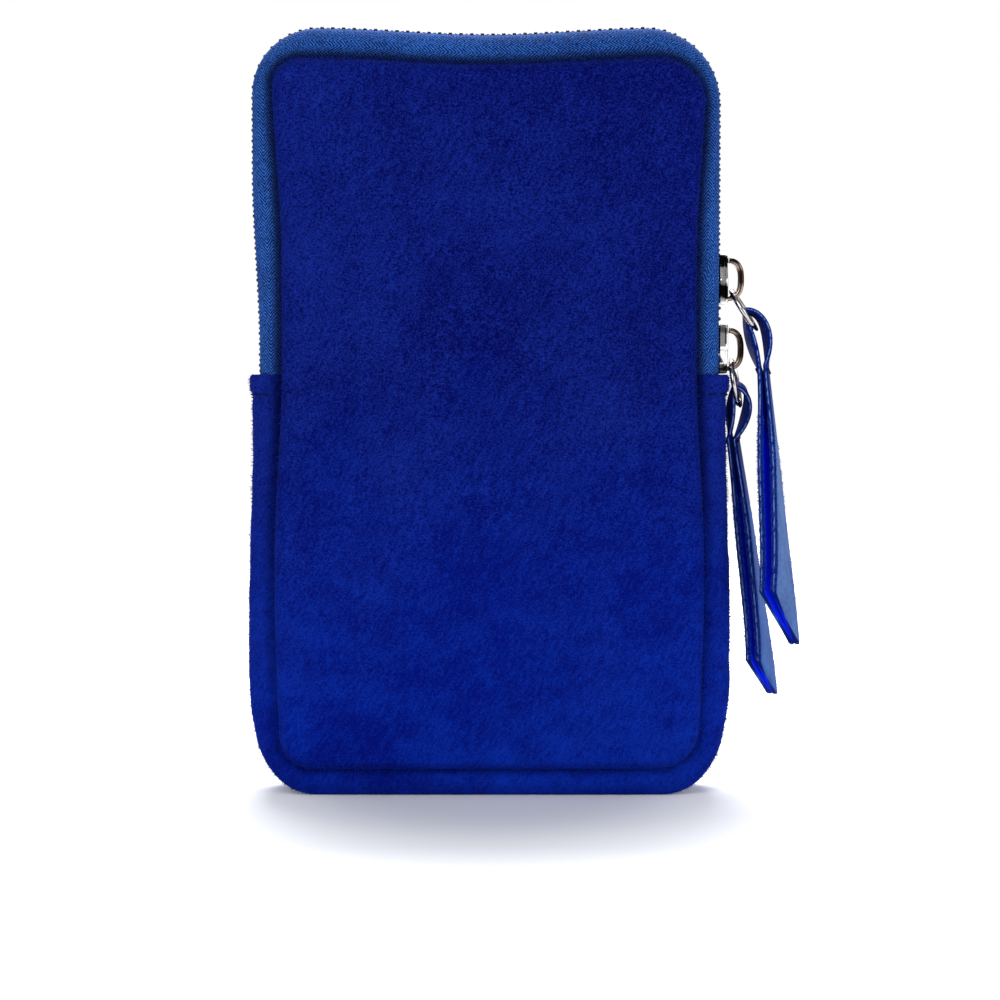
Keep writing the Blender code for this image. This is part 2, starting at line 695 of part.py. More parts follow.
def ring_pivot(middle):
    """Where a ring's wire rests in the lower corner of its slider's hook."""
    face = CHAIN_HALF_WIDTH + TOOTH_HALF_HEIGHT + CLEARANCE + WING
    across = face + (HOOK_REACH - HOOK_STRIP) / 2
    up = middle - HOOK_HALF_LENGTH + HOOK_STRIP + CLEARANCE + RING_WIRE
    return Vector((across, 0.0, up))


def ring_directions(lean):
    """A ring's hinge axis, and the direction from its pivot to its far side."""
    yaw = Matrix.Rotation(-radians(PULL_YAW), 3, "Z")
    hinge = yaw @ Vector((0, 1, 0))
    hang = yaw @ Vector((sin(radians(lean)), 0, -cos(radians(lean))))
    return hinge, hang


def pull_ring(name, pivot, lean):
    """A round wire ring that hangs through the hook, with its origin on its hinge."""
    hinge, hang = ring_directions(lean)
    bpy.ops.mesh.primitive_torus_add(
        major_radius=RING_RADIUS, minor_radius=RING_WIRE, major_segments=24, minor_segments=6
    )
    made = bpy.context.object
    mesh = made.data
    bpy.data.objects.remove(made, do_unlink=True)
    turn = Matrix((hinge, hang, hinge.cross(hang))).transposed().to_4x4()
    mesh.transform(Matrix.Translation(hang * RING_RADIUS) @ turn)
    piece = place(name, mesh, "nickel")
    piece.location = pivot
    mesh.shade_smooth()
    return piece


def ribbon(name, rows, thickness, finish):
    """A strip through rows of points, thickened both ways, by one thickness or one for each row."""
    piece = place(name, grid_mesh(name, rows), finish)
    levels = np.broadcast_to(thickness, len(rows))
    thickest = float(np.max(levels))
    group = piece.vertex_groups.new(name="thickness")
    numbers = np.arange(rows.shape[0] * rows.shape[1]).reshape(rows.shape[:2])
    for row, level in zip(numbers, levels):
        group.add(row.tolist(), float(level) / thickest, "REPLACE")
    thicken(piece, thickest, offset=0.0).modifiers[0].vertex_group = group.name
    return piece


def strip_rows(lean, neck, bulge, gap, drift, yaw_end, fan):
    """Rows across a folded pull strip, from its inner leg's end over the ring, and thicknesses.

    In the strip's own frame x points outwards, y is its width and z is up, with the ring's
    wire at the origin. The fold is a teardrop: its sides part from the line between fold and
    neck by bulge * (1 - f) * sqrt(f) / peak, f being the share of the way to the neck. The fold
    is pared thin. Below the neck each leg thickens, drifts outwards and turns towards the end's
    yaw, and the legs part by the gap along their near edges only.
    """
    rise = 2 * RING_RADIUS - (RING_RADIUS + RING_FOLD_OFFSET)
    fold = np.array([-sin(radians(lean)), cos(radians(lean))]) * rise
    neck = np.array(neck)
    line = neck - fold
    normal = np.array([-line[1], line[0]]) / np.linalg.norm(line)
    peak = (2 / 3) / sqrt(3)
    neck_half = (STRIP + NECK_GAP) / 2
    columns = np.array(STRIP_COLUMN_SHARES)
    level = np.ones(len(columns))
    lengths = (STRIP_NEAR_LENGTH + STRIP_FAR_LENGTH) / 2
    lengths = lengths + (STRIP_FAR_LENGTH - STRIP_NEAR_LENGTH) / 2 * columns
    far = ease((columns + 1) / 2)
    legs = {}
    for side, swell in ((-1, bulge[0]), (1, bulge[1])):
        leg = []
        for share in np.linspace(0, 1, LEG_STEPS + 1)[1:]:
            f = share * share
            spread = swell * (1 - f) * share / peak + neck_half * f
            spot = fold + line * f + normal * side * spread
            half = (STRIP_FOLD_WIDTH + (STRIP_NECK_WIDTH - STRIP_FOLD_WIDTH) * f) / 2
            leg.append(np.stack([level * spot[0], columns * half, level * spot[1]], axis=1))
        for share in np.linspace(0, 1, LEG_STEPS + 1)[1:]:
            down = lengths * share
            opened = ease(share / STRIP_SPREAD_SHARE)
            spread = neck_half + (gap * (1 - far) + STRIP_LEG - STRIP) / 2 * opened
            half = (STRIP_NECK_WIDTH + (STRIP_END_WIDTH - STRIP_NECK_WIDTH) * share) / 2
            yaw = -radians(yaw_end - PULL_YAW) * share
            x, y = side * spread, columns * half
            shift = drift * (1 - (1 - share) ** DRIFT_POWER)
            across = neck[0] + shift + x * cos(yaw) - y * sin(yaw)
            leg.append(np.stack([across, x * sin(yaw) + y * cos(yaw), neck[1] - down], axis=1))
        legs[side] = leg
    top = np.stack([level * fold[0], columns * STRIP_FOLD_WIDTH / 2, level * fold[1]], axis=1)
    rows = legs[-1][::-1] + [top] + legs[1]
    tilt = np.array(Matrix.Rotation(radians(fan), 3, "X"))
    turn = np.array(Matrix.Rotation(-radians(PULL_YAW), 3, "Z"))
    opened = ease(np.linspace(0, 1, LEG_STEPS + 1)[1:] / STRIP_SPREAD_SHARE)
    leg_levels = np.concatenate([np.zeros(LEG_STEPS), opened])
    levels = np.concatenate([leg_levels[::-1], np.zeros(1), leg_levels])
    return np.array(rows) @ tilt.T @ turn.T, STRIP + (STRIP_LEG - STRIP) * levels


def pull_tab(name, pivot, lean, shape):
    """A suede strip folded through a ring, with its origin on the ring's wire."""
    _, hang = ring_directions(lean)
    piece = ribbon(name, *strip_rows(lean, *shape), "strip")
    piece.location = pivot + hang * 2 * RING_RADIUS
    return piece


def back_face(height):
    """Depth of the rear panel's outer face at a height, over its middle."""
    middle = (SEAM_BASE + SEAM_TOP) / 2
    share = (height - middle) / (SEAM_TOP - SEAM_STEP - EDGE_ROLL - middle)
    return SEAM_HALF_DEPTH + EDGE_ROLL + CROWN * (1 - min(share, 1.0) ** CROWN_POWER)


LOOP_TOP = SEAM_TOP - SEAM_STEP - EDGE_ROLL
LOOP_BAR_HEIGHT = LOOP_TOP - LOOP_DROP
LOOP_BAR_DEPTH = back_face(LOOP_BAR_HEIGHT) + 2 * CLEARANCE + STRIP + D_WIRE


def strap_loop(name, across):
    """A suede strip sewn into the rear seam, lying down the back and folded round a D-ring."""
    inner_radius = EDGE_ROLL + CLEARANCE + STRIP / 2
    outer_radius = inner_radius + STRIP + CLEARANCE
    wrap = D_WIRE + CLEARANCE + STRIP / 2
    drop = sag(across)
    inner = arc((SEAM_HALF_DEPTH, LOOP_TOP), inner_radius, LOOP_START, 0, 4)
    outer = arc((SEAM_HALF_DEPTH, LOOP_TOP), outer_radius, 0, LOOP_START, 4)
    fold = arc((LOOP_BAR_DEPTH, LOOP_BAR_HEIGHT), wrap, 180, 360, 6)
    line = np.array(inner + fold + outer)
    columns = np.array(STRIP_COLUMN_SHARES) * LOOP_WIDTH / 2 + across
    level = np.ones(len(columns))
    rows = [
        np.stack([columns, level * depth, level * (height - drop)], axis=1)
        for depth, height in line
    ]
    return ribbon(name, np.array(rows), STRIP, "suede")


def d_ring(name, across):
    """A wire D-ring whose straight bar lies in the loop's fold, with its origin on that bar."""
    bend = D_HALF_WIDTH - D_CORNER
    outline = [(-bend, 0.0), (bend, 0.0)]
    outline += arc((bend, -D_CORNER), D_CORNER, D_BEND_START, 0, 2)
    lower = D_HEIGHT - D_CORNER
    angles = np.linspace(0, pi, 11)[1:-1]
    outline += [(D_HALF_WIDTH * cos(a), -D_CORNER - lower * sin(a)) for a in angles]
    outline += arc((-bend, -D_CORNER), D_CORNER, 180, 180 - D_BEND_START, 2)
    curve = bpy.data.curves.new(name, "CURVE")
    curve.dimensions = "3D"
    curve.bevel_depth = D_WIRE
    curve.bevel_resolution = 1
    spline = curve.splines.new("POLY")
    spline.points.add(len(outline) - 1)
    for point, (x, z) in zip(spline.points, outline):
        point.co = (x, 0.0, z, 1.0)
    spline.use_cyclic_u = True
    piece = bpy.data.objects.new(name, curve)
    POUCH.objects.link(piece)
    curve.materials.append(material(name, "nickel"))
    piece.location = (across, LOOP_BAR_DEPTH, LOOP_BAR_HEIGHT - sag(across))
    return piece


def hang_on(piece, carrier):
    """Parents a piece to what carries it, where both already are."""
    bpy.context.view_layer.update()
    piece.parent = carrier
    piece.matrix_parent_inverse = carrier.matrix_world.inverted()


panel("front_panel", -1)
panel("rear_panel", 1)
gusset()
for word, side in (("front", -1), ("rear", 1)):
    tape(f"zip_tape_{word}", side)
    teeth(f"zip_teeth_{word}", side)
for word, side in (("left", -1), ("right", 1)):
    end_stop(f"zip_stop_{word}", side)

UPPER_HANG = (UPPER_END_GAP, UPPER_STRIP_DRIFT, UPPER_YAW_END, -PULL_FAN)
LOWER_HANG = (LOWER_END_GAP, LOWER_STRIP_DRIFT, LOWER_YAW_END, PULL_FAN)
UPPER_SHAPE = (UPPER_NECK, UPPER_LOOP_BULGE, *UPPER_HANG)
LOWER_SHAPE = (LOWER_NECK, LOWER_LOOP_BULGE, *LOWER_HANG)
PULLS = (
    ("upper", upper_slider_middle, -1, UPPER_RING_LEAN, UPPER_SHAPE),
    ("lower", lower_slider_middle, 1, LOWER_RING_LEAN, LOWER_SHAPE),
)
for word, middle, toward, lean, shape in PULLS:
    carrier = slider(f"slider_{word}", middle, toward)
    pivot = ring_pivot(middle)
    ring = pull_ring(f"pull_ring_{word}", pivot, lean)
    tab = pull_tab(f"pull_tab_{word}", pivot, lean, shape)
    hang_on(ring, carrier)
    hang_on(tab, ring)

for word, side in (("left", -1), ("right", 1)):
    across = side * (SEAM_HALF_WIDTH_TOP - LOOP_INSET)
    loop = strap_loop(f"strap_loop_{word}", across)
    hang_on(d_ring(f"d_ring_{word}", across), loop)
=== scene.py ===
"""Blue suede crossbody pouch with a two-slider zip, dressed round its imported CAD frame.

Metres, +Z up, X to the right, Y away from the viewer, origin at the middle of the base.
"""
from math import cos, pi, radians, sin, sqrt

import bpy
import numpy as np
from mathutils import Matrix, Vector


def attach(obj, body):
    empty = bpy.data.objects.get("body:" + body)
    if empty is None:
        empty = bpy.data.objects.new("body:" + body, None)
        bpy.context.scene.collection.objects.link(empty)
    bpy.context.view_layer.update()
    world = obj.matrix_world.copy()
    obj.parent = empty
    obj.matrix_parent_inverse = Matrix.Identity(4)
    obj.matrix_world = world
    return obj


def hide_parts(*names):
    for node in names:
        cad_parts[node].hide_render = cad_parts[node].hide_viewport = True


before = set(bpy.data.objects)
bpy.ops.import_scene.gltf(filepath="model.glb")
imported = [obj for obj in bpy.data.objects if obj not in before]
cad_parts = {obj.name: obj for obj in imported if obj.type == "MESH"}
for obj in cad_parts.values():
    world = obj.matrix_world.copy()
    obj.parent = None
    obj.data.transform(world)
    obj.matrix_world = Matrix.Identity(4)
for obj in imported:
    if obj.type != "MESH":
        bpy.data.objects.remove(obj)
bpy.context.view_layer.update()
MM = 0.001

# The two faces are cut from soft split suede, brushed so that the nap catches the light in
# patches. Each is sewn to the band all round and turned out, which rolls its edge over the seam.
SEAM_HALF_WIDTHS = {"top": 50.4 * MM, "waist": 48.3 * MM, "base": 50.2 * MM}
WAIST_FROM = 100 * MM
WAIST_TO = 125 * MM
WAIST_EASE = 45 * MM
SEAM_BASE = 6.2 * MM
SEAM_BASE_TUCK = 1.2 * MM
SEAM_TOP = 171.5 * MM
SEAM_HALF_DEPTH = 11.0 * MM
SEAM_CORNERS_TOP = (11 * MM, 7 * MM)
SEAM_CORNERS_BASE = (10 * MM, 8 * MM)
SEAM_STEP = 0.21 * MM
SEAM_TUCK = 2.4 * MM
SEAM_VALLEY = 1.1 * MM
VALLEY_WIDTH = 1.9 * MM
SHADE_WIDTH = 1.1 * MM
HEM_HEIGHT = 98.4 * MM
TOP_SAG = 1.5 * MM
SAG_REACH = 40 * MM
SUEDE = 1.2 * MM
EDGE_ROLL = 2.2 * MM
CROWN = 3.0 * MM
CROWN_POWER = 2.2
PUCKER = 0.16 * MM
PUCKER_REACH = 5 * MM
PUCKER_WAVES = (6 * MM, 9.5 * MM, 15 * MM, 23 * MM)
SLACK = 0.32 * MM
SLACK_LEAN = 0.35
SLACK_WAVES_ACROSS = (61 * MM, 38 * MM)
SLACK_WAVES_UP = (83 * MM, 47 * MM)
SLACK_POWER = 6
TUCK_SHARES = (1.0, 0.6, 0.25)
POUCH_HEIGHT = 180 * MM
BODY_BLUES = ((0.0001, 0.0014, 0.074), (0.0055, 0.0185, 0.225))
LOW_BLUES = ((0.0001, 0.0050, 0.180), (0.0016, 0.0300, 0.400))
SEAM_SHADE = (0.0002, 0.0010, 0.04)
FIBRE = 0.085 * MM
FIBRE_REACH = 0.7 * MM
FIBRE_TAPER = 2.5
FIBRE_LEAN = 0.5
FACE_FIBRES = 5000
FACE_NAP_PART = (0.01, 0.14)
FIBRE_BLUE = (0.004, 0.022, 0.26)


def ease(value):
    """Smooth step: 3 v^2 - 2 v^3 of the value held between 0 and 1."""
    held = np.clip(value, 0, 1)
    return held * held * (3 - 2 * held)


def seam_half_width(height):
    """Half width of a face at a height: the waist, an eased rise towards the top and the base,
    and an eased tuck at the base."""
    above = ease((height - WAIST_TO) / WAIST_EASE)
    below = ease((WAIST_FROM - height) / WAIST_EASE)
    low = SEAM_BASE_TUCK * ease((WAIST_EASE - height) / WAIST_EASE)
    waist = SEAM_HALF_WIDTHS["waist"]
    rise = (SEAM_HALF_WIDTHS["top"] - waist) * above
    return waist + rise + (SEAM_HALF_WIDTHS["base"] - waist) * below - low


def arch(half_width, start, end, corners, shares=np.linspace(0, 1, 71)):
    """Half a rounded rectangle as (x, z): straight side, quarter circle, edge, and back down."""
    up = np.sign(end - start)
    right, left = corners
    turn = np.linspace(0, pi / 2, 32, endpoint=False)
    across = np.linspace(0, 1, 120, endpoint=False)
    side, back = shares[:-1], 1 - shares[::-1]
    xs = (
        half_width + 0 * side,
        half_width - right + right * np.cos(turn),
        half_width - right + (left + right - 2 * half_width) * across,
        left - half_width - left * np.sin(turn),
        -half_width + 0 * back,
    )
    zs = (
        start + (end - up * right - start) * side,
        end - up * right + up * right * np.sin(turn),
        end + 0 * across,
        end - up * left + up * left * np.cos(turn),
        end - up * left + (start - end + up * left) * back,
    )
    return np.stack([np.concatenate(xs), np.concatenate(zs)], axis=1)


def widened(points, half_width, rule):
    """Scales x by the rule's half width at each point's height over the arch's own."""
    return points * np.stack([rule(points[:, 1]) / half_width, np.ones(len(points))], axis=1)


def dipped(points):
    """Lowers points by the sag of the top edge: half a cosine wave across its reach."""
    wave = 0.5 + 0.5 * np.cos(pi * np.clip(np.abs(points[:, 0]) / SAG_REACH, 0, 1))
    return points - np.stack([0 * wave, TOP_SAG * wave], axis=1)


def distances(points):
    """Distance along a line of points, from its first."""
    step = np.linalg.norm(np.diff(points, axis=0), axis=1)
    return np.concatenate([[0.0], np.cumsum(step)])


def outward(points, closed=False):
    """Unit normals of an outline in its plane: its tangents turned a quarter, away from inside."""
    line = np.concatenate([points[-1:], points, points[:1]]) if closed else points
    step = np.gradient(line, axis=0)
    step = step[1:-1] if closed else step
    normal = np.stack([step[:, 1], -step[:, 0]], axis=1)
    normal /= np.linalg.norm(normal, axis=1)[:, None]
    middle = np.array([0.0, (SEAM_BASE + SEAM_TOP) / 2])
    return normal * np.sign(np.sum(normal * (points - middle), axis=1))[:, None]


def waves(place, lengths, seed):
    """A sum of sine waves of the given lengths with seeded phases, scaled to about -1 to 1."""
    phases = np.random.default_rng(seed).uniform(0, 2 * pi, len(lengths))
    total = sum(np.sin(2 * pi * place / length + phase) for length, phase in zip(lengths, phases))
    return total / sqrt(len(lengths))


def linked(name, mesh):
    """An object of a mesh, smooth, in the scene."""
    mesh.shade_smooth()
    piece = bpy.data.objects.new(name, mesh)
    bpy.context.scene.collection.objects.link(piece)
    return piece


def surface(name, rows, around=False, along=False, flip=False, caps=(), uv=None, marks=None):
    """A smooth object whose quads join the grid of points rows[i, j].

    around joins each row's ends, along joins the last row to the first, and a cap fans one end
    row, 0 or -1, to its middle. uv and marks hold a value for each point of the grid.
    """
    count, width = rows.shape[:2]
    number = np.arange(count * width).reshape(count, width)
    if around:
        number = np.concatenate([number, number[:, :1]], axis=1)
    if along:
        number = np.concatenate([number, number[:1]])
    corners = (number[:-1, :-1], number[:-1, 1:], number[1:, 1:], number[1:, :-1])
    faces = np.stack(corners, axis=-1).reshape(-1, 4)[:, :: -1 if flip else 1].tolist()
    points = rows.reshape(-1, 3)
    for cap in caps:
        rim = number[cap]
        hub = len(points)
        points = np.concatenate([points, rows[cap].mean(axis=0)[None]])
        fan = np.stack([rim[1:], rim[:-1], np.full(len(rim) - 1, hub)], axis=1)
        faces += fan[:, :: 1 if (cap == 0) != flip else -1].tolist()
    mesh = bpy.data.meshes.new(name)
    mesh.from_pydata(points.tolist(), [], faces)
    for word, values in (marks or {}).items():
        value = np.concatenate([values.reshape(-1), [values[cap].mean() for cap in caps]])
        mesh.attributes.new(word, "FLOAT", "POINT").data.foreach_set("value", value.astype("f4"))
    if uv is not None:
        corner = np.zeros(len(mesh.loops), int)
        mesh.loops.foreach_get("vertex_index", corner)
        value = np.concatenate([uv.reshape(-1, 2), np.zeros((len(caps), 2))])
        mesh.uv_layers.new(name="weave").data.foreach_set("uv", value[corner].ravel())
    return linked(name, mesh)


def walled(piece, thickness):
    """Gives an open surface its wall, inwards from the side that is outside."""
    wall = piece.modifiers.new("wall", "SOLIDIFY")
    wall.thickness = thickness
    wall.offset = -1.0


class Wire:
    """A shader value that adds, multiplies and compares as a number does, through Math nodes."""

    def __init__(self, finish, socket):
        self.finish = finish
        self.socket = socket

    def __add__(self, other):
        return self.finish.math("ADD", self, other)

    def __sub__(self, other):
        return self.finish.math("SUBTRACT", self, other)

    def __rsub__(self, other):
        return self.finish.math("SUBTRACT", other, self)

    def __mul__(self, other):
        return self.finish.math("MULTIPLY", self, other)

    def __gt__(self, other):
        return self.finish.math("GREATER_THAN", self, other)

    __radd__ = __add__
    __rmul__ = __mul__


class Finish:
    """A Principled material, built up from nodes."""

    def __init__(self, name, constants):
        self.made = bpy.data.materials.new(name)
        self.made.use_nodes = True
        self.shader = self.made.node_tree.nodes["Principled BSDF"]
        self.feed(constants)

    def feed(self, sockets, made=None):
        """Sets or links the named or numbered sockets of a node, by default the shader."""
        for key, value in sockets.items():
            target = (made or self.shader).inputs[key]
            if isinstance(value, Wire):
                self.made.node_tree.links.new(value.socket, target)
            else:
                target.default_value = value

    def node(self, kind, settings, sockets, output=0):
        """Makes a node of a kind, sets it up, feeds its sockets and gives one of its outputs."""
        made = self.made.node_tree.nodes.new("ShaderNode" + kind)
        for word, value in settings.items():
            if word == "stops":
                while len(made.color_ramp.elements) < len(value):
                    made.color_ramp.elements.new(1.0)
                for element, (place, level) in zip(made.color_ramp.elements, value):
                    element.position = place
                    element.color = (level, level, level, 1.0)
            else:
                setattr(made, word, value)
        self.feed(sockets, made)
        return Wire(self, made.outputs[output])

    def place(self, output="Object"):
        return self.node("TexCoord", {}, {}, output)

    def coordinate(self, axis, output="Object"):
        """One of the three coordinates, counted from 0."""
        return self.node("SeparateXYZ", {}, {0: self.place(output)}, axis)

    def mark(self, word):
        """The value that the mesh's points carry under a name."""
        return self.node("Attribute", {"attribute_name": word}, {}, 2)

    def noise(self, size, detail=2.0, stretch=(1.0, 1.0, 1.0), lean=0.0):
        """Noise from 0 to 1 whose lumps are about a size across, stretched along each axis and
        leant over about y."""
        scale = tuple(size * factor for factor in stretch)
        sockets = {"Vector": self.place(), "Rotation": (0.0, lean, 0.0), "Scale": scale}
        spot = self.node("Mapping", {"vector_type": "TEXTURE"}, sockets)
        return self.node("TexNoise", {}, {"Vector": spot, "Scale": 1.0, "Detail": detail})

    def ramp(self, value, *stops):
        return self.node("ValToRGB", {"stops": stops}, {0: value})

    def clamp(self, value):
        return self.node("Clamp", {}, {0: value})

    def math(self, operation, first, second=0.0):
        return self.node("Math", {"operation": operation}, {0: first, 1: second})

    def mix(self, factor, first, second):
        """Mixes two colours by a factor."""
        sides = [side if isinstance(side, Wire) else (*side, 1.0) for side in (first, second)]
        return self.node("Mix", {"data_type": "RGBA"}, {0: factor, 6: sides[0], 7: sides[1]}, 2)

    def bump(self, height, distance, strength, normal=None):
        sockets = {"Height": height, "Distance": distance, "Strength": strength}
        if normal:
            sockets["Normal"] = normal
        return self.node("Bump", {}, sockets)


def on_grid(rows, along, across):
    """Points and unit normals of a grid at fractional places, by interpolating between its own."""
    i, j = along.astype(int), across.astype(int)
    u, v = (along - i)[:, None], (across - j)[:, None]
    corner = [rows[i + a, j + b] for a in (0, 1) for b in (0, 1)]
    here, ahead = (corner[k] * (1 - v) + corner[k + 1] * v for k in (0, 2))
    spot = here * (1 - u) + ahead * u
    normal = np.cross(corner[2] - corner[0], corner[1] - corner[0])
    return spot, normal / np.linalg.norm(normal, axis=1)[:, None]


def many(name, shape):
    """One object from many like tubes: shape[k, i, j] is point j round ring i of tube k."""
    tubes, rings, sides = shape.shape[:3]
    number = np.arange(tubes * rings * sides).reshape(tubes, rings, sides)
    turned = np.roll(number, -1, axis=2)
    walls = (number[:, :-1], turned[:, :-1], turned[:, 1:], number[:, 1:])
    faces = np.stack(walls, axis=-1).reshape(-1, 4).tolist()
    faces += number[:, 0, ::-1].tolist() + number[:, -1].tolist()
    mesh = bpy.data.meshes.new(name)
    mesh.from_pydata(shape.reshape(-1, 3).tolist(), [], faces)
    return linked(name, mesh)


def nap(name, rows, count, reach, face, seed, part=(0.0, 1.0)):
    """Loose fibres over part of a grid of points: thin pyramids that lean from its normals.

    Their feet are spread evenly by length down the grid's middle column, and by place across
    it, and none reaches below the floor. Each fibre's direction is the normal plus a normally
    distributed lean, and its length is reach times a random number from 0.4 to 1. face is 1 or
    -1, for the side of the grid that is outside.
    """
    rng = np.random.default_rng(seed)
    run = distances(rows[:, rows.shape[1] // 2])
    along = np.interp(rng.uniform(*part, count) * run[-1], run, np.arange(len(run)))
    along = np.minimum(along, len(run) - 1.001)
    spot, normal = on_grid(rows, along, rng.uniform(0, 1, count) * (rows.shape[1] - 1.001))
    ahead = face * normal + rng.normal(0, FIBRE_LEAN, (count, 3))
    ahead /= np.linalg.norm(ahead, axis=1)[:, None]
    aside = np.cross(ahead, rng.normal(0, 1, (count, 3)))
    aside /= np.linalg.norm(aside, axis=1)[:, None]
    across = np.cross(ahead, aside)
    turn = np.linspace(0, 2 * pi, 3, endpoint=False)[:, None]
    ring = aside[:, None] * np.cos(turn) + across[:, None] * np.sin(turn)
    length = reach * rng.uniform(0.4, 1.0, count)[:, None]
    foot = (spot - ahead * FIBRE)[:, None] + ring * FIBRE
    tip = (spot + ahead * length)[:, None] + ring * FIBRE / FIBRE_TAPER
    clear = np.minimum(foot, tip)[..., 2].min(axis=1) > 0
    return many(name, np.stack([foot, tip], axis=1)[clear])


def suede(name, lift=0.0):
    """Brushed suede: broad patches where the nap lies over, a short grain of pale fibres, a
    bluer, smoother nap low down, and painted shade in the seams, less of it low down."""
    finish = Finish(name, {"Specular IOR Level": 0.04, "Sheen Weight": 0.12})
    finish.feed({"Sheen Roughness": 0.3, "Sheen Tint": (0.03, 0.2, 1.0, 1.0)})
    patches = finish.noise(30 * MM, 4.0, (1.0, 1.0, 1.3))
    drifts = finish.noise(8 * MM, 4.0, (1.2, 1.0, 0.8))
    grain = finish.noise(0.44 * MM, 2.0, (1.15, 1.0, 0.9))
    pores = finish.noise(0.3 * MM, 1.0, (0.9, 1.0, 1.25))
    strokes = finish.noise(1.1 * MM, 2.0, (0.7, 1.0, 2.6), 0.5)
    climb = finish.coordinate(2) * (1 / POUCH_HEIGHT)
    low = finish.ramp(climb + (patches - 0.5) * 0.5, (0.08, 0.85), (0.56, 0.0))
    speck = grain * 0.62 + pores * 0.38
    broad = (patches - 0.5) * 1.2 + (drifts - 0.5) * 0.5 + (strokes - 0.5) * 0.9
    # lift raises the upper tone; the band's copy of the suede uses it as painted light.
    tone = broad + (speck - 0.5) * 3.9 + (0.36 + lift)
    low_tone = broad + (drifts - 0.5) * 0.6 + (speck - 0.5) * 1.9 + 0.36
    upper = finish.mix(finish.clamp(tone), *BODY_BLUES)
    lower = finish.mix(finish.clamp(low_tone), *LOW_BLUES)
    # Painted shade: near the seams the colour darkens towards SEAM_SHADE, less so low down.
    painted_seam_shade = finish.mark("shade") * (0.9 - low * 1.2)
    finish.feed({
        "Base Color": finish.mix(painted_seam_shade, finish.mix(low, upper, lower), SEAM_SHADE),
        "Roughness": 0.9 + (drifts - 0.5) * 0.2,
        "Normal": finish.bump(speck, 0.2 * MM, 0.7, finish.bump(drifts, 0.5 * MM, 0.35)),
    })
    return finish.made


def fibres(name, blue):
    """The matt, even blue of single fibres."""
    finish = Finish(name, {"Roughness": 0.9, "Specular IOR Level": 0.1})
    finish.feed({"Base Color": (*blue, 1.0)})
    return finish.made


def seam_outline():
    """The closed seam of a face: the dipped upper arch joined to the lower one."""
    top, base = SEAM_HALF_WIDTHS["top"], SEAM_HALF_WIDTHS["base"]
    upper = arch(top, HEM_HEIGHT, SEAM_TOP, SEAM_CORNERS_TOP)
    lower = arch(base, HEM_HEIGHT, SEAM_BASE, SEAM_CORNERS_BASE)
    upper = dipped(widened(upper, top, seam_half_width))
    lower = widened(lower, base, seam_half_width)
    return upper, lower


seam_upper, seam_lower = seam_outline()
body_suede = suede("cobalt suede")
loose_fibres = fibres("loose blue fibres", FIBRE_BLUE)
# Each face's edge rolls out of the tucked seam in a quarter ellipse. Inside the roll the face
# rises by CROWN (1 - share^CROWN_POWER), the share being 1 at the roll and 0 in the middle.
# Puckers fade from the seam by exp(-distance / PUCKER_REACH), and the slack grows inwards.
for name, side in (("front_face", -1), ("rear_face", 1)):
    loop = np.concatenate([seam_upper, seam_lower[-2:0:-1]])
    normal = outward(loop, closed=True)
    run = distances(loop)
    middle = np.array([0.0, (SEAM_BASE + SEAM_TOP) / 2])
    pucker = PUCKER * waves(run, PUCKER_WAVES, 3 + side)
    bottom = SEAM_HALF_DEPTH - SEAM_VALLEY
    insets = [SEAM_STEP + SEAM_TUCK * share for share in TUCK_SHARES]
    depths = [bottom - SEAM_TUCK * share for share in TUCK_SHARES]
    for angle in np.linspace(0, pi / 2, 13):
        insets.append(SEAM_STEP + EDGE_ROLL * (1 - cos(angle)))
        depths.append(bottom + (EDGE_ROLL + SEAM_VALLEY) * sin(angle))
    rolls = []
    for inset, depth in zip(insets, depths):
        flat = loop - normal * inset
        rise = np.clip((depth - SEAM_HALF_DEPTH) / EDGE_ROLL, 0, 1)
        rolls.append(np.stack([flat[:, 0], depth + pucker * rise, flat[:, 1]], axis=1))
    edge = loop - normal * (SEAM_STEP + EDGE_ROLL)
    reach = np.linalg.norm(edge - middle, axis=1)
    shares = np.concatenate([np.linspace(0.995, 0.9, 16), np.linspace(0.885, 0.02, 42)])
    flats = middle + (edge - middle) * shares[:, None, None]
    fade = np.exp(-(1 - shares[:, None]) * reach / PUCKER_REACH)
    slack = waves(flats[..., 0] + SLACK_LEAN * flats[..., 1], SLACK_WAVES_ACROSS, 11 + side)
    slack = slack * waves(flats[..., 1], SLACK_WAVES_UP, 5 + side)
    rise = CROWN * (1 - shares[:, None] ** CROWN_POWER)
    depth = SEAM_HALF_DEPTH + EDGE_ROLL + rise + pucker * fade
    depth = depth + SLACK * slack * (1 - shares[:, None] ** SLACK_POWER)
    crown = np.stack([flats[..., 0], depth, flats[..., 1]], axis=-1)
    rows = np.concatenate([np.array(rolls), crown])
    # The shade mark, for painted seam shade, is 1 at the seam and fades with distance from it; the
    # crown lies too far from the seam to get any.
    unshaded = [1.0] * len(shares)
    away = np.array(insets + unshaded)
    away += np.clip(np.array(depths + unshaded) - bottom, 0, 1)
    shade = np.broadcast_to(np.exp(-((away / SHADE_WIDTH) ** 2))[:, None], rows.shape[:2])
    rows[..., 1] *= side
    piece = surface(name, rows, around=True, flip=side > 0, caps=(-1,), marks={"shade": shade})
    walled(piece, SUEDE)
    piece.data.materials.append(body_suede)
    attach(piece, "pouch")
    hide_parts("front_panel" if side < 0 else "rear_panel")
    fuzz = nap(f"{name}_nap", rows, FACE_FIBRES, FIBRE_REACH, side, 20 + side, FACE_NAP_PART)
    fuzz.data.materials.append(loose_fibres)
    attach(fuzz, "pouch")

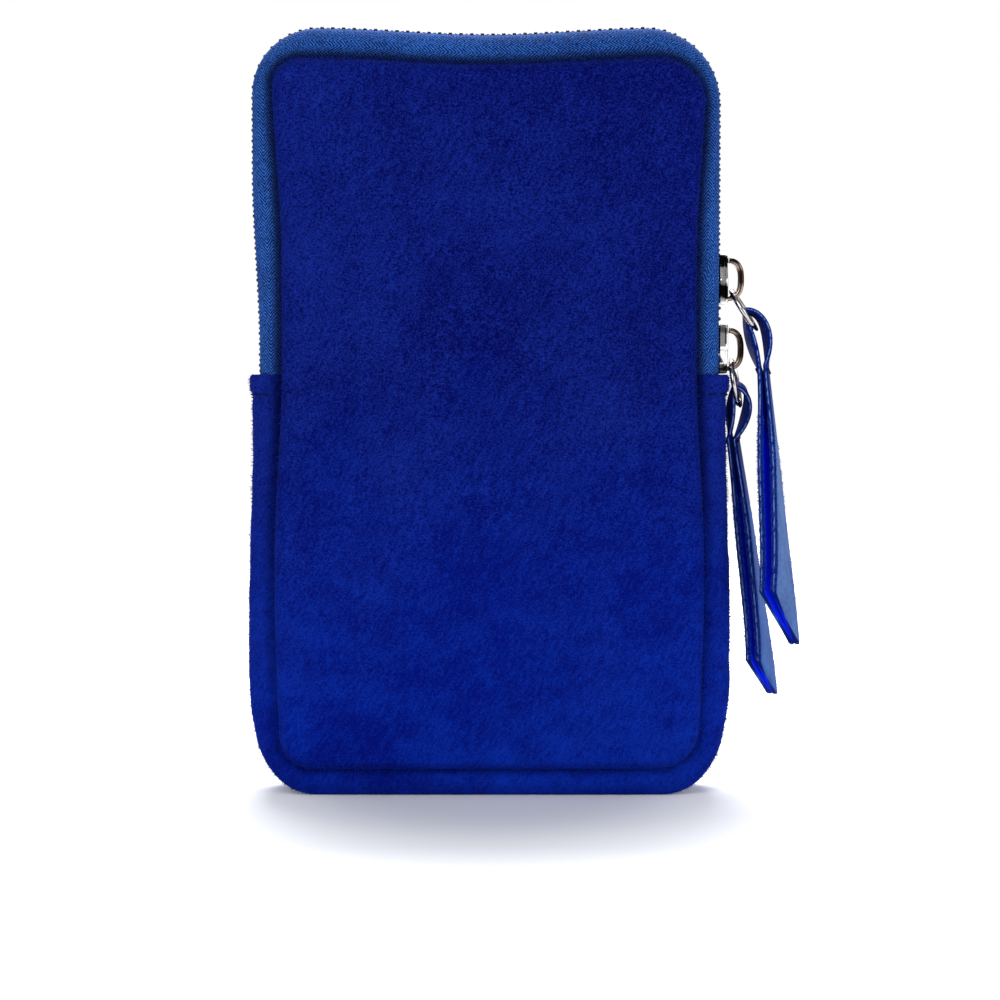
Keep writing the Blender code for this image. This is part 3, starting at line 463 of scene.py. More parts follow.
# The lower band is one suede strip, as deep as the pouch, that runs down one side, under the
# base and up the other. Each end is folded in and held by a row of stitches across it.
HEM_HALF_WIDTH = 56.0 * MM
BAND_HALF_WIDTHS = (55.3 * MM, 56.4 * MM)
BAND_WIDE_BELOW = 40 * MM
BAND_EASE = 45 * MM
BASE_CORNER = 14 * MM
BASE_TUCK = 2.6 * MM
BASE_TUCK_BELOW = 26 * MM
BASE_TUCK_EASE = 22 * MM
BAND_FLAT = 6.0 * MM
BASE_FLAT = 8.0 * MM
HEM_PROUD = 0.72 * MM
HEM_LIP = 0.45 * MM
HEM_LIP_WIDTH = 0.7 * MM
BAND_SHADE_WIDTH = 1.6 * SHADE_WIDTH
# Lightens the band's copy of the suede: painted light standing in for the light on its sides.
BAND_PAINTED_LIGHT = 0.3
BAND_FIBRES = 11000
STITCH_DROP = 4.6 * MM
STITCH_DIP = 0.62 * MM
STITCH_DIP_WIDTH = 0.75 * MM
STITCH_PITCH = 2.9 * MM
STITCH_LENGTH = 2.1 * MM
THREAD = 0.24 * MM
THREAD_TWIST = 0.22 * MM
NAVY = (0.0008, 0.002, 0.02)


def band_half_width(height):
    """Half width of the band at a height: an eased swell and tuck to the base, and the hem.

    The hem's edge rounds over by an eased lip, it stands proud down to the stitches, and the
    stitches draw it in by a bell curve round their row.
    """
    down = HEM_HEIGHT - height
    narrow, wide = BAND_HALF_WIDTHS
    low = narrow + (wide - narrow) * ease((BAND_WIDE_BELOW + BAND_EASE - height) / BAND_EASE)
    proud = HEM_PROUD * ease((STITCH_DROP + MM - down) / MM)
    dip = STITCH_DIP * np.exp(-(((down - STITCH_DROP) / STITCH_DIP_WIDTH) ** 2))
    lip = HEM_LIP * (1 - ease(down / HEM_LIP_WIDTH))
    tucked = BASE_TUCK * ease((BASE_TUCK_BELOW - height) / BASE_TUCK_EASE)
    return low + proud - dip - lip - tucked


def half_band(seam, crest, flat, inner, side, tuck):
    """Points across half a band at its stations, from an inner depth to the tucked seam.

    Past the flat comes an elliptical shoulder: the share of the way from seam to crest goes
    with cos a, and the depth from the flat's to the seam's with sin a. The seam pulls a valley
    into it by a bell curve. Also gives the shade mark, which fades with distance from the seam.
    """
    angle = np.linspace(0, pi / 2, 24)
    level = np.linspace(0, 1, 6, endpoint=False)
    share = np.concatenate([0 * level + 1, np.cos(angle), np.zeros(len(tuck))])
    inset = np.concatenate([0 * level, 0 * angle, tuck])
    flat, inner = (np.broadcast_to(depth, len(seam))[:, None] for depth in (flat, inner))
    edge = SEAM_HALF_DEPTH - SEAM_STEP
    over = flat + (edge - flat) * np.sin(angle)
    depth = np.concatenate([inner + (flat - inner) * level, over, edge - tuck + 0 * flat], axis=1)
    spot = seam[:, None] + (crest - seam)[:, None] * share[:, None]
    spot = spot - outward(seam)[:, None] * inset[:, None]
    away = np.linalg.norm(spot - seam[:, None], axis=2)
    depth = depth - SEAM_VALLEY * np.exp(-((away / VALLEY_WIDTH) ** 2))
    rows = np.stack([spot[..., 0], side * depth, spot[..., 1]], axis=-1)
    return rows, np.exp(-((away / BAND_SHADE_WIDTH) ** 2))


def stitches(name, middle, run, rise, length=STITCH_LENGTH, radius=THREAD):
    """A row of stitches: each is a round thread whose radius goes with the root of 1 - t^4.

    middle, run and rise are each stitch's place, its direction and the way it stands up.
    """
    t = np.sin(np.linspace(-1, 1, 9) * pi / 2)
    swell = np.sqrt(np.clip(1 - t**4, 0.02, 1))
    turn = np.linspace(0, 2 * pi, 8, endpoint=False)
    cross = np.cross(run, rise)
    circle = np.stack([np.cos(turn), np.sin(turn)])[..., None]
    ring = rise[:, None, None] * circle[0] + cross[:, None, None] * circle[1]
    line = middle[:, None] + run[:, None] * (t * length / 2)[:, None]
    line = line + rise[:, None] * (radius * (swell - 1))[:, None]
    return many(name, line[:, :, None] + ring * (radius * swell)[:, None, None])


def thread(name, blue):
    """Twisted sewing thread: fine slanting ridges, matt."""
    finish = Finish(name, {"Roughness": 0.9, "Specular IOR Level": 0.1})
    twist = finish.noise(THREAD_TWIST, 1.0, (1.0, 1.0, 0.4))
    finish.feed({"Base Color": finish.mix(twist, blue, tuple(4 * level for level in blue))})
    finish.feed({"Normal": finish.bump(twist, 0.05 * MM, 0.6)})
    return finish.made


hem_shares = np.concatenate([np.linspace(0, 0.1, 44, endpoint=False), np.linspace(0.1, 1, 60)])
band_crest = arch(HEM_HALF_WIDTH, HEM_HEIGHT, 0.0, (BASE_CORNER, BASE_CORNER), hem_shares)
band_seam = arch(SEAM_HALF_WIDTHS["base"], HEM_HEIGHT, SEAM_BASE, SEAM_CORNERS_BASE, hem_shares)
band_seam = widened(band_seam, SEAM_HALF_WIDTHS["base"], seam_half_width)
band_crest = widened(band_crest, HEM_HALF_WIDTH, band_half_width)
low = ease(1 - band_crest[:, 1] / BASE_CORNER)
band_flat = BAND_FLAT + (BASE_FLAT - BAND_FLAT) * low
tuck = SEAM_TUCK * np.array(TUCK_SHARES[::-1])
halves = [half_band(band_seam, band_crest, band_flat, 0.0, side, tuck) for side in (-1, 1)]
band_rows = np.concatenate([halves[0][0][:, ::-1], halves[1][0][:, 1:]], axis=1)
band_shade = np.concatenate([halves[0][1][:, ::-1], halves[1][1][:, 1:]], axis=1)
soft = waves(distances(band_crest), (9 * MM, 14 * MM, 26 * MM), 8)[:, None] * PUCKER
shoulder = np.clip(1 - np.abs(band_rows[..., 1]) / SEAM_HALF_DEPTH, 0, 1)
shoulder *= 1 - low[:, None]
band_rows[..., 0] += np.sign(band_rows[..., 0]) * soft * shoulder
band_suede = suede("cobalt suede band", BAND_PAINTED_LIGHT)
band = surface("lower_band", band_rows, flip=True, marks={"shade": band_shade})
walled(band, SUEDE)
band.data.materials.append(band_suede)
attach(band, "pouch")
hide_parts("bottom_gusset")
fuzz = nap("lower_band_nap", band_rows, BAND_FIBRES, FIBRE_REACH, 1, 31)
fuzz.data.materials.append(loose_fibres)
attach(fuzz, "pouch")

navy_thread = thread("navy thread", NAVY)
for word, end in (("right", 1), ("left", -1)):
    half = band_crest[: len(hem_shares)] if end > 0 else band_crest[-len(hem_shares) :][::-1]
    row = np.interp(HEM_HEIGHT - STITCH_DROP, half[::-1, 1], np.arange(len(half))[::-1])
    row = row if end > 0 else len(band_crest) - 1 - row
    sweep = np.linspace(2.0, band_rows.shape[1] - 3.01, 55)
    run = distances(on_grid(band_rows, np.full(len(sweep), row), sweep)[0])
    count = int(run[-1] / STITCH_PITCH)
    columns = np.interp((np.arange(count) + 0.5) * run[-1] / count, run, sweep)
    spot, up = on_grid(band_rows, np.full(count, row), columns)
    up = up * np.sign(up[:, :1] * end)
    ahead = on_grid(band_rows, np.full(count, row), columns + 0.3)[0] - spot
    ahead /= np.linalg.norm(ahead, axis=1)[:, None]
    sewn = stitches(f"hem_stitches_{word}", spot + up * THREAD * 0.4, ahead, up)
    sewn.data.materials.append(navy_thread)
    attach(sewn, "pouch")

# The zip runs from hem to hem over the top: two woven twill tapes sewn into the seams, each
# with a row of moulded teeth clamped along its corded edge.
TAPE = 0.5 * MM
TAPE_HALF_WIDTH = 53.55 * MM
ZIP_TOP = 178.5 * MM
ZIP_CORNERS = (17 * MM, 15 * MM)
LEFT_BULGE = 1.5 * MM
BULGE_FROM = 105 * MM
BULGE_EASE = 40 * MM
TAPE_UNDER_HEM = 1.5 * MM
TOOTH_ROOT = 2.9 * MM
TOOTH_PITCH = 2.5 * MM
TOOTH_HALF_LENGTH = 0.475 * MM
TOOTH_HALF_HEIGHT = 1.05 * MM
CHAIN_TUCK = 3.2 * MM
CHAIN_PROUD = 0.55 * MM
CLEARANCE = 0.3 * MM
PARTED = 1.6 * MM
PARTED_HEIGHTS = (101.1 * MM, 104.7 * MM, 120.5 * MM, 124.1 * MM)
CORD = 0.45 * MM
CORD_INSET = 0.4 * MM
RIB = 0.8 * MM
CHEVRON = 1.5 * MM
RIB_SLANT = 1.2
YARN_SLANT = 2.2
TAPE_BLUES = ((0.0006, 0.012, 0.09), (0.045, 0.205, 0.78))
TOOTH_BLUES = ((0.0006, 0.0012, 0.008), (0.003, 0.006, 0.03))
# Each row: how far from the middle of the chain, in mm, and the shares of length and height.
TOOTH_PROFILE = np.array([
    (-0.70, 0.42, 0.55), (-0.60, 0.85, 0.85), (-0.25, 1.0, 1.0), (0.15, 0.92, 1.0),
    (0.70, 0.66, 0.92), (1.20, 0.72, 0.90), (2.10, 1.0, 0.95), (2.90, 0.95, 0.62),
])
TOOTH_POWER = 3.2


def bulged(points):
    """Pushes the upper left of a zip line outwards, by an eased amount up its left side."""
    x, z = points.T
    out = LEFT_BULGE * ease((z - BULGE_FROM) / BULGE_EASE) * ease(-x / BULGE_EASE)
    return points - np.stack([out, 0 * out], axis=1)


def parted(points):
    """How far each row stands aside at points of the zip: full between the sliders, then less
    and less in a straight line."""
    apart = np.interp(points[:, 1], PARTED_HEIGHTS, (0.0, PARTED, PARTED, 0.0))
    return np.where(points[:, 0] > 0, apart, 0.0)


def twill(name, blues):
    """Woven tape: a herringbone of slanting ribs, whose slant turns over at each chevron."""
    finish = Finish(name, {"Specular IOR Level": 0.1})
    along, across = (finish.coordinate(axis, "UV") for axis in (0, 1))
    zigzag = finish.math("PINGPONG", across, CHEVRON)
    jitter = finish.noise(1.1 * MM) * (0.5 * MM)
    slanted = along + zigzag * RIB_SLANT + jitter
    rib = finish.math("SINE", slanted * (2 * pi / RIB)) * 0.5 + 0.5
    slanted = along - zigzag * YARN_SLANT
    yarn = finish.math("SINE", slanted * (2 * pi / (0.5 * RIB))) * 0.5 + 0.5
    fleck = finish.noise(0.45 * MM)
    wear = finish.noise(9 * MM)
    height = rib * 0.6 + yarn * 0.25 + (fleck - 0.5) * 1.2
    colour = finish.mix(finish.clamp(height * 1.5 - 0.35 + (wear - 0.5) * 0.5), *blues)
    # Painted shade: near the seams the tape's colour darkens towards SEAM_SHADE.
    finish.feed({"Base Color": finish.mix(finish.mark("shade") * 0.9, colour, SEAM_SHADE)})
    finish.feed({"Roughness": 0.75 + wear * 0.15, "Normal": finish.bump(height, 0.2 * MM, 1.0)})
    return finish.made


def moulded(name, blues):
    """Moulded plastic: nearly plain, with a faint orange peel and a soft gloss."""
    finish = Finish(name, {"Specular IOR Level": 0.4})
    peel = finish.noise(0.35 * MM, 1.0)
    finish.feed({"Base Color": finish.mix(peel, *blues), "Roughness": 0.34 + peel * 0.2})
    finish.feed({"Normal": finish.bump(peel, 0.02 * MM, 0.5)})
    return finish.made


def squircle(count, power):
    """Points round a unit superellipse: cos and sin raised to 2 / power, signs kept."""
    turn = np.linspace(0, 2 * pi, count, endpoint=False)
    return [np.sign(f) * np.abs(f) ** (2 / power) for f in (np.cos(turn), np.sin(turn))]


zip_shares = np.linspace(0, 1, 90)
zip_start = HEM_HEIGHT - TAPE_UNDER_HEM
zip_crest = bulged(dipped(arch(TAPE_HALF_WIDTH, zip_start, ZIP_TOP, ZIP_CORNERS, zip_shares)))
zip_seam = arch(SEAM_HALF_WIDTHS["top"], zip_start, SEAM_TOP, SEAM_CORNERS_TOP, zip_shares)
zip_seam = dipped(widened(zip_seam, SEAM_HALF_WIDTHS["top"], seam_half_width))
tape_twill = twill("blue twill", TAPE_BLUES)
tooth_plastic = moulded("navy tooth plastic", TOOTH_BLUES)

chain_top = ZIP_TOP - TAPE / 2 + CHAIN_PROUD
chain = arch(TAPE_HALF_WIDTH - TAPE / 2, HEM_HEIGHT - CHAIN_TUCK, chain_top, ZIP_CORNERS)
chain = bulged(dipped(chain))
chain_run = distances(chain)
chain_normal = outward(chain)
for word, side in (("front", -1), ("rear", 1)):
    inner = TOOTH_ROOT + parted(zip_crest) - CORD
    rows, shade = half_band(zip_seam, zip_crest, BAND_FLAT, inner, side, tuck)
    along = np.broadcast_to(distances(zip_crest)[:, None], rows.shape[:2])
    step = np.linalg.norm(np.diff(rows, axis=1), axis=2)
    across = np.concatenate([np.zeros((len(rows), 1)), np.cumsum(step, axis=1)], axis=1)
    uv = np.stack([along, across], axis=-1)
    tape = surface(f"tape_{word}", rows, flip=side < 0, uv=uv, marks={"shade": shade})
    walled(tape, TAPE)
    tape.data.materials.append(tape_twill)
    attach(tape, "pouch")
    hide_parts(f"zip_tape_{word}")

    first = TOOTH_PITCH * (0.5 if side < 0 else 1.0)
    centres = np.arange(first, chain_run[-1] - TOOTH_HALF_LENGTH, TOOTH_PITCH)
    spot = np.stack([np.interp(centres, chain_run, chain[:, k]) for k in (0, 1)], axis=1)
    lift = np.stack([np.interp(centres, chain_run, chain_normal[:, k]) for k in (0, 1)], axis=1)
    lift /= np.linalg.norm(lift, axis=1)[:, None]
    ahead = np.stack([-lift[:, 1], lift[:, 0]], axis=1)
    # A tooth is a column of superellipses, whose half sizes are the profile's shares.
    a, h = squircle(10, TOOTH_POWER)
    long = (TOOTH_HALF_LENGTH * TOOTH_PROFILE[:, 1])[:, None] * a
    high = (TOOTH_HALF_HEIGHT * TOOTH_PROFILE[:, 2])[:, None] * h
    spots, aheads, lifts = (each[:, None, None] for each in (spot, ahead, lift))
    flat = spots + aheads * long[..., None] + lifts * high[..., None]
    depth = side * (TOOTH_PROFILE[:, 0] * MM + parted(spot)[:, None])[:, :, None] + 0 * long
    shape = np.stack([flat[..., 0], depth, flat[..., 1]], axis=-1)
    row = many(f"teeth_{word}", shape if side > 0 else shape[:, :, ::-1])
    row.data.materials.append(tooth_plastic)
    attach(row, "pouch")
    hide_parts(f"zip_teeth_{word}")

    turn = np.linspace(0, 2 * pi, 10, endpoint=False)
    core = side * (TOOTH_ROOT - CORD_INSET + parted(chain))
    ring = chain[:, None] + chain_normal[:, None] * (CORD * np.cos(turn))[:, None]
    depth = core[:, None] + CORD * np.sin(turn)
    rows = np.stack([ring[..., 0], depth, ring[..., 1]], axis=-1)
    cord = surface(f"tape_cord_{word}", rows, around=True, caps=(0, -1))
    cord.data.materials.append(tape_twill)
    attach(cord, "pouch")

# The cloth lining is sewn in under the tapes. It is looser than the pouch, so its two edges
# bulge up behind the chain and meet in a crease, and no daylight shows between the teeth.
LINING = 0.3 * MM
LINING_INSETS = (0.75 * MM, 3.9 * MM)
LINING_HALF_WIDTH = 7.4 * MM
LINING_EDGE = 1.3 * MM
LINING_CREASE = 0.6 * MM
LINING_CREASE_WIDTH = 0.8 * MM
LINING_BLUES = ((0.0001, 0.0004, 0.004), (0.0006, 0.003, 0.024))
# Across, the fold's distance under the tape eases from one inset at its edges to the other,
# and a bell curve draws the crease down its middle.
depth = np.linspace(-1, 1, 41) * LINING_HALF_WIDTH
rise = ease((LINING_HALF_WIDTH - np.abs(depth)) / LINING_EDGE)
inset = LINING_INSETS[0] + (LINING_INSETS[1] - LINING_INSETS[0]) * rise
inset = inset + LINING_CREASE * np.exp(-((depth / LINING_CREASE_WIDTH) ** 2))
flat = zip_crest[:, None] - outward(zip_crest)[:, None] * inset[:, None]
rows = np.stack(np.broadcast_arrays(flat[..., 0], depth, flat[..., 1]), axis=-1)
uv = np.stack(np.broadcast_arrays(distances(zip_crest)[:, None], depth), axis=-1)
lining = surface("lining_fold", rows, uv=uv)
walled(lining, LINING)
lining.data.materials.append(twill("navy lining", LINING_BLUES))
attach(lining, "pouch")

# Each slider is cast zinc, plated nickel and polished, its colour holding painted reflections:
# two plates joined by a wedge that parts the teeth, with curled side flanges, and a hooked
# bridge over it that takes the ring.
SLIDER_LENGTH = 11.4 * MM
SLIDER_MIDDLES = {"upper": 120.8 * MM, "lower": 104.4 * MM}
CHAIN_X = TAPE_HALF_WIDTH - TAPE / 2
CHANNEL = 1.5 * MM
PLATE_FACE = 2.5 * MM
HEAD_HALF = 5.7 * MM
TAIL_HALF = 4.1 * MM
FLANGE = 0.9 * MM
SLOT = 0.55 * MM
SHOULDER_AT = 5.4 * MM
NARROW_AT = 9.0 * MM
POST_HALF = 0.6 * MM
POST_LENGTH = 5.2 * MM
HOOK_REACH = 4.2 * MM
HOOK_HALF_LENGTH = 5.2 * MM
HOOK_STRIP = 1.4 * MM
HOOK_WIDTH = 2.6 * MM
HOOK_POWER = 2.7
HOOK_BAR_POWER = 3.6
HOOK_SINK = 0.15 * MM
LUG = 0.45 * MM
LUG_SINK = 0.1 * MM
LUG_CORNER = 0.3 * MM
LUG_EDGE = 0.15 * MM
PLATE_CORNER = 0.9 * MM
PLATE_EDGE = 0.28 * MM
FLANGE_STEP = 0.3 * MM
FLANGE_CORNER = 0.25 * MM
FLANGE_EDGE = 0.2 * MM
WEDGE_TIP_HALF = 0.12 * MM
WEDGE_CORNER = 0.1 * MM
WEDGE_EDGE = 0.05 * MM
NICKEL_LEVEL = 2.6 * MM
HOOK_NICKEL_LEVEL = 4 * MM
# Dark and bright levels of the painted reflections, on the sliders and the browner hooks.
NICKEL_PAINTED_REFLECTIONS = ((0.008, 0.0075, 0.007), (0.74, 0.72, 0.69))
HOOK_PAINTED_REFLECTIONS = ((0.035, 0.022, 0.016), (0.22, 0.17, 0.14))


def nickel(name, levels, size):
    """Polished nickel plate: its colour holds painted reflections, level bands dark and bright of
    about a size, and it is a little smeared, with a few fine scratches."""
    finish = Finish(name, {"Metallic": 1.0})
    smear = finish.noise(2.5 * MM, 3.0)
    scratch = finish.noise(0.25 * MM, 1.0, (0.3, 1.0, 6.0))
    bands = finish.noise(size, 1.0, (7.0, 9.0, 1.0), 0.1)
    # Painted reflection: level bands, dark and bright, where the metal mirrors its surroundings.
    painted_mirror_bands = finish.ramp(bands, (0.43, 0.0), (0.53, 1.0))
    finish.feed({"Base Color": finish.mix(painted_mirror_bands, *levels), "Roughness": 0.07 + smear * 0.12})
    finish.feed({"Normal": finish.bump(smear + scratch * 0.15, 0.03 * MM, 0.35)})
    return finish.made


def rounded(corners, radius, steps=6):
    """A closed outline whose corners are parabolas through points a radius from each corner."""
    points = np.array(corners)
    sides = [np.roll(points, shift, axis=0) - points for shift in (1, -1)]
    ends = [points + side / np.linalg.norm(side, axis=1)[:, None] * radius for side in sides]
    t = np.linspace(0, 1, steps)[:, None]
    start, middle, end = (each[:, None] for each in (ends[0], points, ends[1]))
    return (start * (1 - t) ** 2 + middle * 2 * t * (1 - t) + end * t**2).reshape(-1, 2)


def slab(name, outline, low, high, soften):
    """A plate of an outline in (y, z), from low to high along x, with quarter-round edges."""
    after = np.roll(outline, -1, axis=0)
    area = np.sum(outline[:, 0] * after[:, 1] - outline[:, 1] * after[:, 0])
    outline = outline if area > 0 else outline[::-1]
    ahead = np.roll(outline, -1, axis=0) - np.roll(outline, 1, axis=0)
    normal = np.stack([ahead[:, 1], -ahead[:, 0]], axis=1) / np.linalg.norm(ahead, axis=1)[:, None]
    turn = np.linspace(0, pi / 2, 5)
    inset = soften * (1 - np.sin(turn))
    inset = np.concatenate([inset, inset[::-1]])
    level = soften * (1 - np.cos(turn))
    level = np.concatenate([low + level, high - level[::-1]])
    flat = outline - normal * inset[:, None, None]
    depth = np.broadcast_to(level[:, None], flat.shape[:2])
    rows = np.stack([depth, flat[..., 0], flat[..., 1]], axis=-1)
    return surface(name, rows, around=True, flip=True, caps=(0, -1))


def swept(name, path, through, half_wide, half_thick, power=2.0, closed=False):
    """A bar along a flat path: a superellipse, thick in the path's plane and wide through it."""
    line = np.concatenate([path[-1:], path, path[:1]]) if closed else path
    ahead = np.gradient(line, axis=0)
    ahead = ahead[1:-1] if closed else ahead
    ahead /= np.linalg.norm(ahead, axis=1)[:, None]
    over = np.cross(ahead, through)
    wide, thick = squircle(20, power)
    wide, thick = half_wide * wide[:, None], half_thick * thick[:, None]
    rows = path[:, None] + over[:, None] * thick + through * wide
    caps = () if closed else (0, -1)
    return surface(name, rows, around=True, along=closed, flip=True, caps=caps)


def joined(name, parts, finish):
    """Makes parts one object with one finish."""
    with bpy.context.temp_override(active_object=parts[0], selected_editable_objects=parts):
        bpy.ops.object.join()
    parts[0].name = name
    parts[0].data.materials.append(finish)
    return parts[0]


slider_nickel = nickel("slider nickel", NICKEL_PAINTED_REFLECTIONS, NICKEL_LEVEL)
hook_nickel = nickel("hook nickel", HOOK_PAINTED_REFLECTIONS, HOOK_NICKEL_LEVEL)
for word, toward in (("upper", -1), ("lower", 1)):
    head, shoulder, narrow, tail = (
        toward * (SLIDER_LENGTH / 2 - down) for down in (0.0, SHOULDER_AT, NARROW_AT, SLIDER_LENGTH)
    )
    half = [(HEAD_HALF, head), (HEAD_HALF, shoulder), (TAIL_HALF, narrow), (TAIL_HALF, tail)]
    plan = rounded(half + [(-y, z) for y, z in half[::-1]], PLATE_CORNER)
    parts = []
    for level, out in (("outer", 1), ("inner", -1)):
        faces = sorted((out * CHANNEL, out * PLATE_FACE))
        parts.append(slab(level, plan, *faces, PLATE_EDGE))
        faces = sorted((out * SLOT, out * (PLATE_FACE - FLANGE_STEP)))
        for side in (-1, 1):
            rim = [(side * y, z) for y, z in half]
            rim += [(side * (y - FLANGE), z) for y, z in half[::-1]]
            parts.append(slab(f"{level} flange", rounded(rim, FLANGE_CORNER), *faces, FLANGE_EDGE))
    tip = toward * (SLIDER_LENGTH / 2 - POST_LENGTH)
    wedge = [(-POST_HALF, head), (POST_HALF, head), (WEDGE_TIP_HALF, tip), (-WEDGE_TIP_HALF, tip)]
    parts.append(slab("wedge", rounded(wedge, WEDGE_CORNER), -CHANNEL, CHANNEL, WEDGE_EDGE))
    # The hook follows half a superellipse from the lower end to just over the lug.
    turn = np.linspace(-pi / 2, pi / 2, 61)
    bow = [np.sign(f(turn)) * np.abs(f(turn)) ** (2 / HOOK_POWER) for f in (np.cos, np.sin)]
    x = PLATE_FACE - HOOK_SINK + (HOOK_REACH - HOOK_STRIP / 2 + HOOK_SINK) * bow[0]
    lug_middle = HOOK_HALF_LENGTH - HOOK_STRIP / 2
    path = np.stack([x, 0 * x, lug_middle * bow[1]], axis=1)
    path = path[(path[:, 2] < 0) | (path[:, 0] > PLATE_FACE + LUG + CLEARANCE)]
    bar = (HOOK_WIDTH / 2, HOOK_STRIP / 2, HOOK_BAR_POWER)
    hook = swept(f"slider_{word}_hook", path, np.array([0.0, 1.0, 0.0]), *bar)
    lug = [(-1, -1), (1, -1), (1, 1), (-1, 1)]
    lug = [(y * HOOK_WIDTH / 2, lug_middle + z * HOOK_STRIP / 2) for y, z in lug]
    faces = (PLATE_FACE - LUG_SINK, PLATE_FACE + LUG)
    parts.append(slab("lug", rounded(lug, LUG_CORNER), *faces, LUG_EDGE))
    cast = joined(f"slider_{word}_cast", parts, slider_nickel)
    hook.data.materials.append(hook_nickel)
    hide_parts(f"slider_{word}")
    place = Vector((CHAIN_X, 0.0, SLIDER_MIDDLES[word]))
    for piece in (cast, hook):
        piece.data.transform(Matrix.Translation(place))
        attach(piece, f"{word}_slider")

# A bent metal clip ends the chain under each hem. Both keep the frame's own meshes, since next
# to nothing of them shows, and take the sliders' finish.
for word in ("left", "right"):
    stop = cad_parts[f"zip_stop_{word}"]
    stop.data.materials.clear()
    stop.data.materials.append(slider_nickel)

# A jump ring of round, nickel-plated wire hangs from each slider's hook. It is bent round until
# its ends meet, so it could be opened to put the pull on.
RING_RADIUS = 5.25 * MM
RING_WIRE = 0.65 * MM
RING_LEANS = {"upper": 32, "lower": 10}
# Dark and bright levels of the rings' painted reflections.
RING_PAINTED_REFLECTIONS = ((0.34, 0.33, 0.32), (0.72, 0.70, 0.68))
RING_NICKEL_LEVEL = 5 * MM
PULL_YAW = 10


def turned(angle, axis):
    """A rotation matrix about x or z by an angle in degrees."""
    c, s = cos(radians(angle)), sin(radians(angle))
    about_x, about_z = [(1, 0, 0), (0, c, -s), (0, s, c)], [(c, -s, 0), (s, c, 0), (0, 0, 1)]
    return np.array(about_x if axis == "x" else about_z)


ring_nickel = nickel("ring nickel", RING_PAINTED_REFLECTIONS, RING_NICKEL_LEVEL)
ring_ends = {}
pull_turn = turned(-PULL_YAW, "z")
for word, lean in RING_LEANS.items():
    across = CHAIN_X + PLATE_FACE + (HOOK_REACH - HOOK_STRIP) / 2
    up = SLIDER_MIDDLES[word] - HOOK_HALF_LENGTH + HOOK_STRIP + CLEARANCE + RING_WIRE
    pivot = np.array([across, 0.0, up])
    hinge = pull_turn @ (0.0, 1.0, 0.0)
    hang = pull_turn @ (sin(radians(lean)), 0.0, -cos(radians(lean)))
    turn = np.linspace(0, 2 * pi, 96, endpoint=False)[:, None]
    path = pivot + hang * RING_RADIUS + RING_RADIUS * (hinge * np.cos(turn) + hang * np.sin(turn))
    over = np.cross(hinge, hang)
    ring = swept(f"ring_{word}", path, over, RING_WIRE, RING_WIRE, closed=True)
    ring.data.materials.append(ring_nickel)
    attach(ring, f"{word}_ring")
    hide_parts(f"pull_ring_{word}")
    ring_ends[word] = pivot + hang * 2 * RING_RADIUS

# Each pull is a suede strip folded through its ring, with the smooth side out, tied at its neck
# with thread and cut off at a slant.
STRIP = 1.1 * MM
STRIP_LEG = 1.4 * MM
STRIP_SPREAD = 0.45
FOLD_TWIST = 16
STRIP_WIDTHS = (6.6 * MM, 8.0 * MM, 14.0 * MM)
STRIP_LENGTHS = (53 * MM, 64 * MM)
NECK_GAP = 0.35 * MM
GAP_LOST = 0.8
FOLD_OFFSET = 0.35 * MM
DRIFT_POWER = 1.2
RIPPLE = 0.14 * MM
RIPPLE_TURN = 9
FOLD_STEPS = 21
LEG_STEPS = 59
STRIP_COLUMNS = 15
CUT_POINTS = 5
STRIP_FIBRES = 900
STRIP_FIBRE_REACH = 0.42 * MM
TIE_PLACES = (-3.1 * MM, -1.1 * MM, 1.1 * MM, 3.1 * MM)
TIE_DROP = 0.6 * MM
TIE_PROUD = 0.12 * MM
TIE_SLANT = 0.12
TIE_LENGTH = 1.9 * MM
TIE_RADIUS = 0.3 * MM
PULL_SHAPES = {
    "upper": ((1.94 * MM, -9.3 * MM), (0.4 * MM, 3.2 * MM), 1.35 * MM, 4.9 * MM, 35, -8),
    "lower": ((-1.6 * MM, -7.6 * MM), (0.5 * MM, 2.9 * MM), 0.75 * MM, 6.8 * MM, 26, 8),
}
# The pale outsides are partly painted sheen; the lower pull's is darker, painted shade from the
# upper pull.
PALE_SHEEN_BLUES = {"upper": (0.10, 0.195, 0.45), "lower": (0.04, 0.125, 0.40)}
DEEP_BLUE = (0.003, 0.014, 0.15)
# The flesh is painted brighter than its own deep blue, as light between the legs.
FLESH_PAINTED_LIGHT_BLUES = ((0.001, 0.008, 0.62), (0.004, 0.03, 1.0))
STRIP_FIBRE_BLUE = (0.025, 0.075, 0.44)
CUT_BLUES = ((0.0010, 0.012, 0.15), (0.19, 0.29, 0.62))


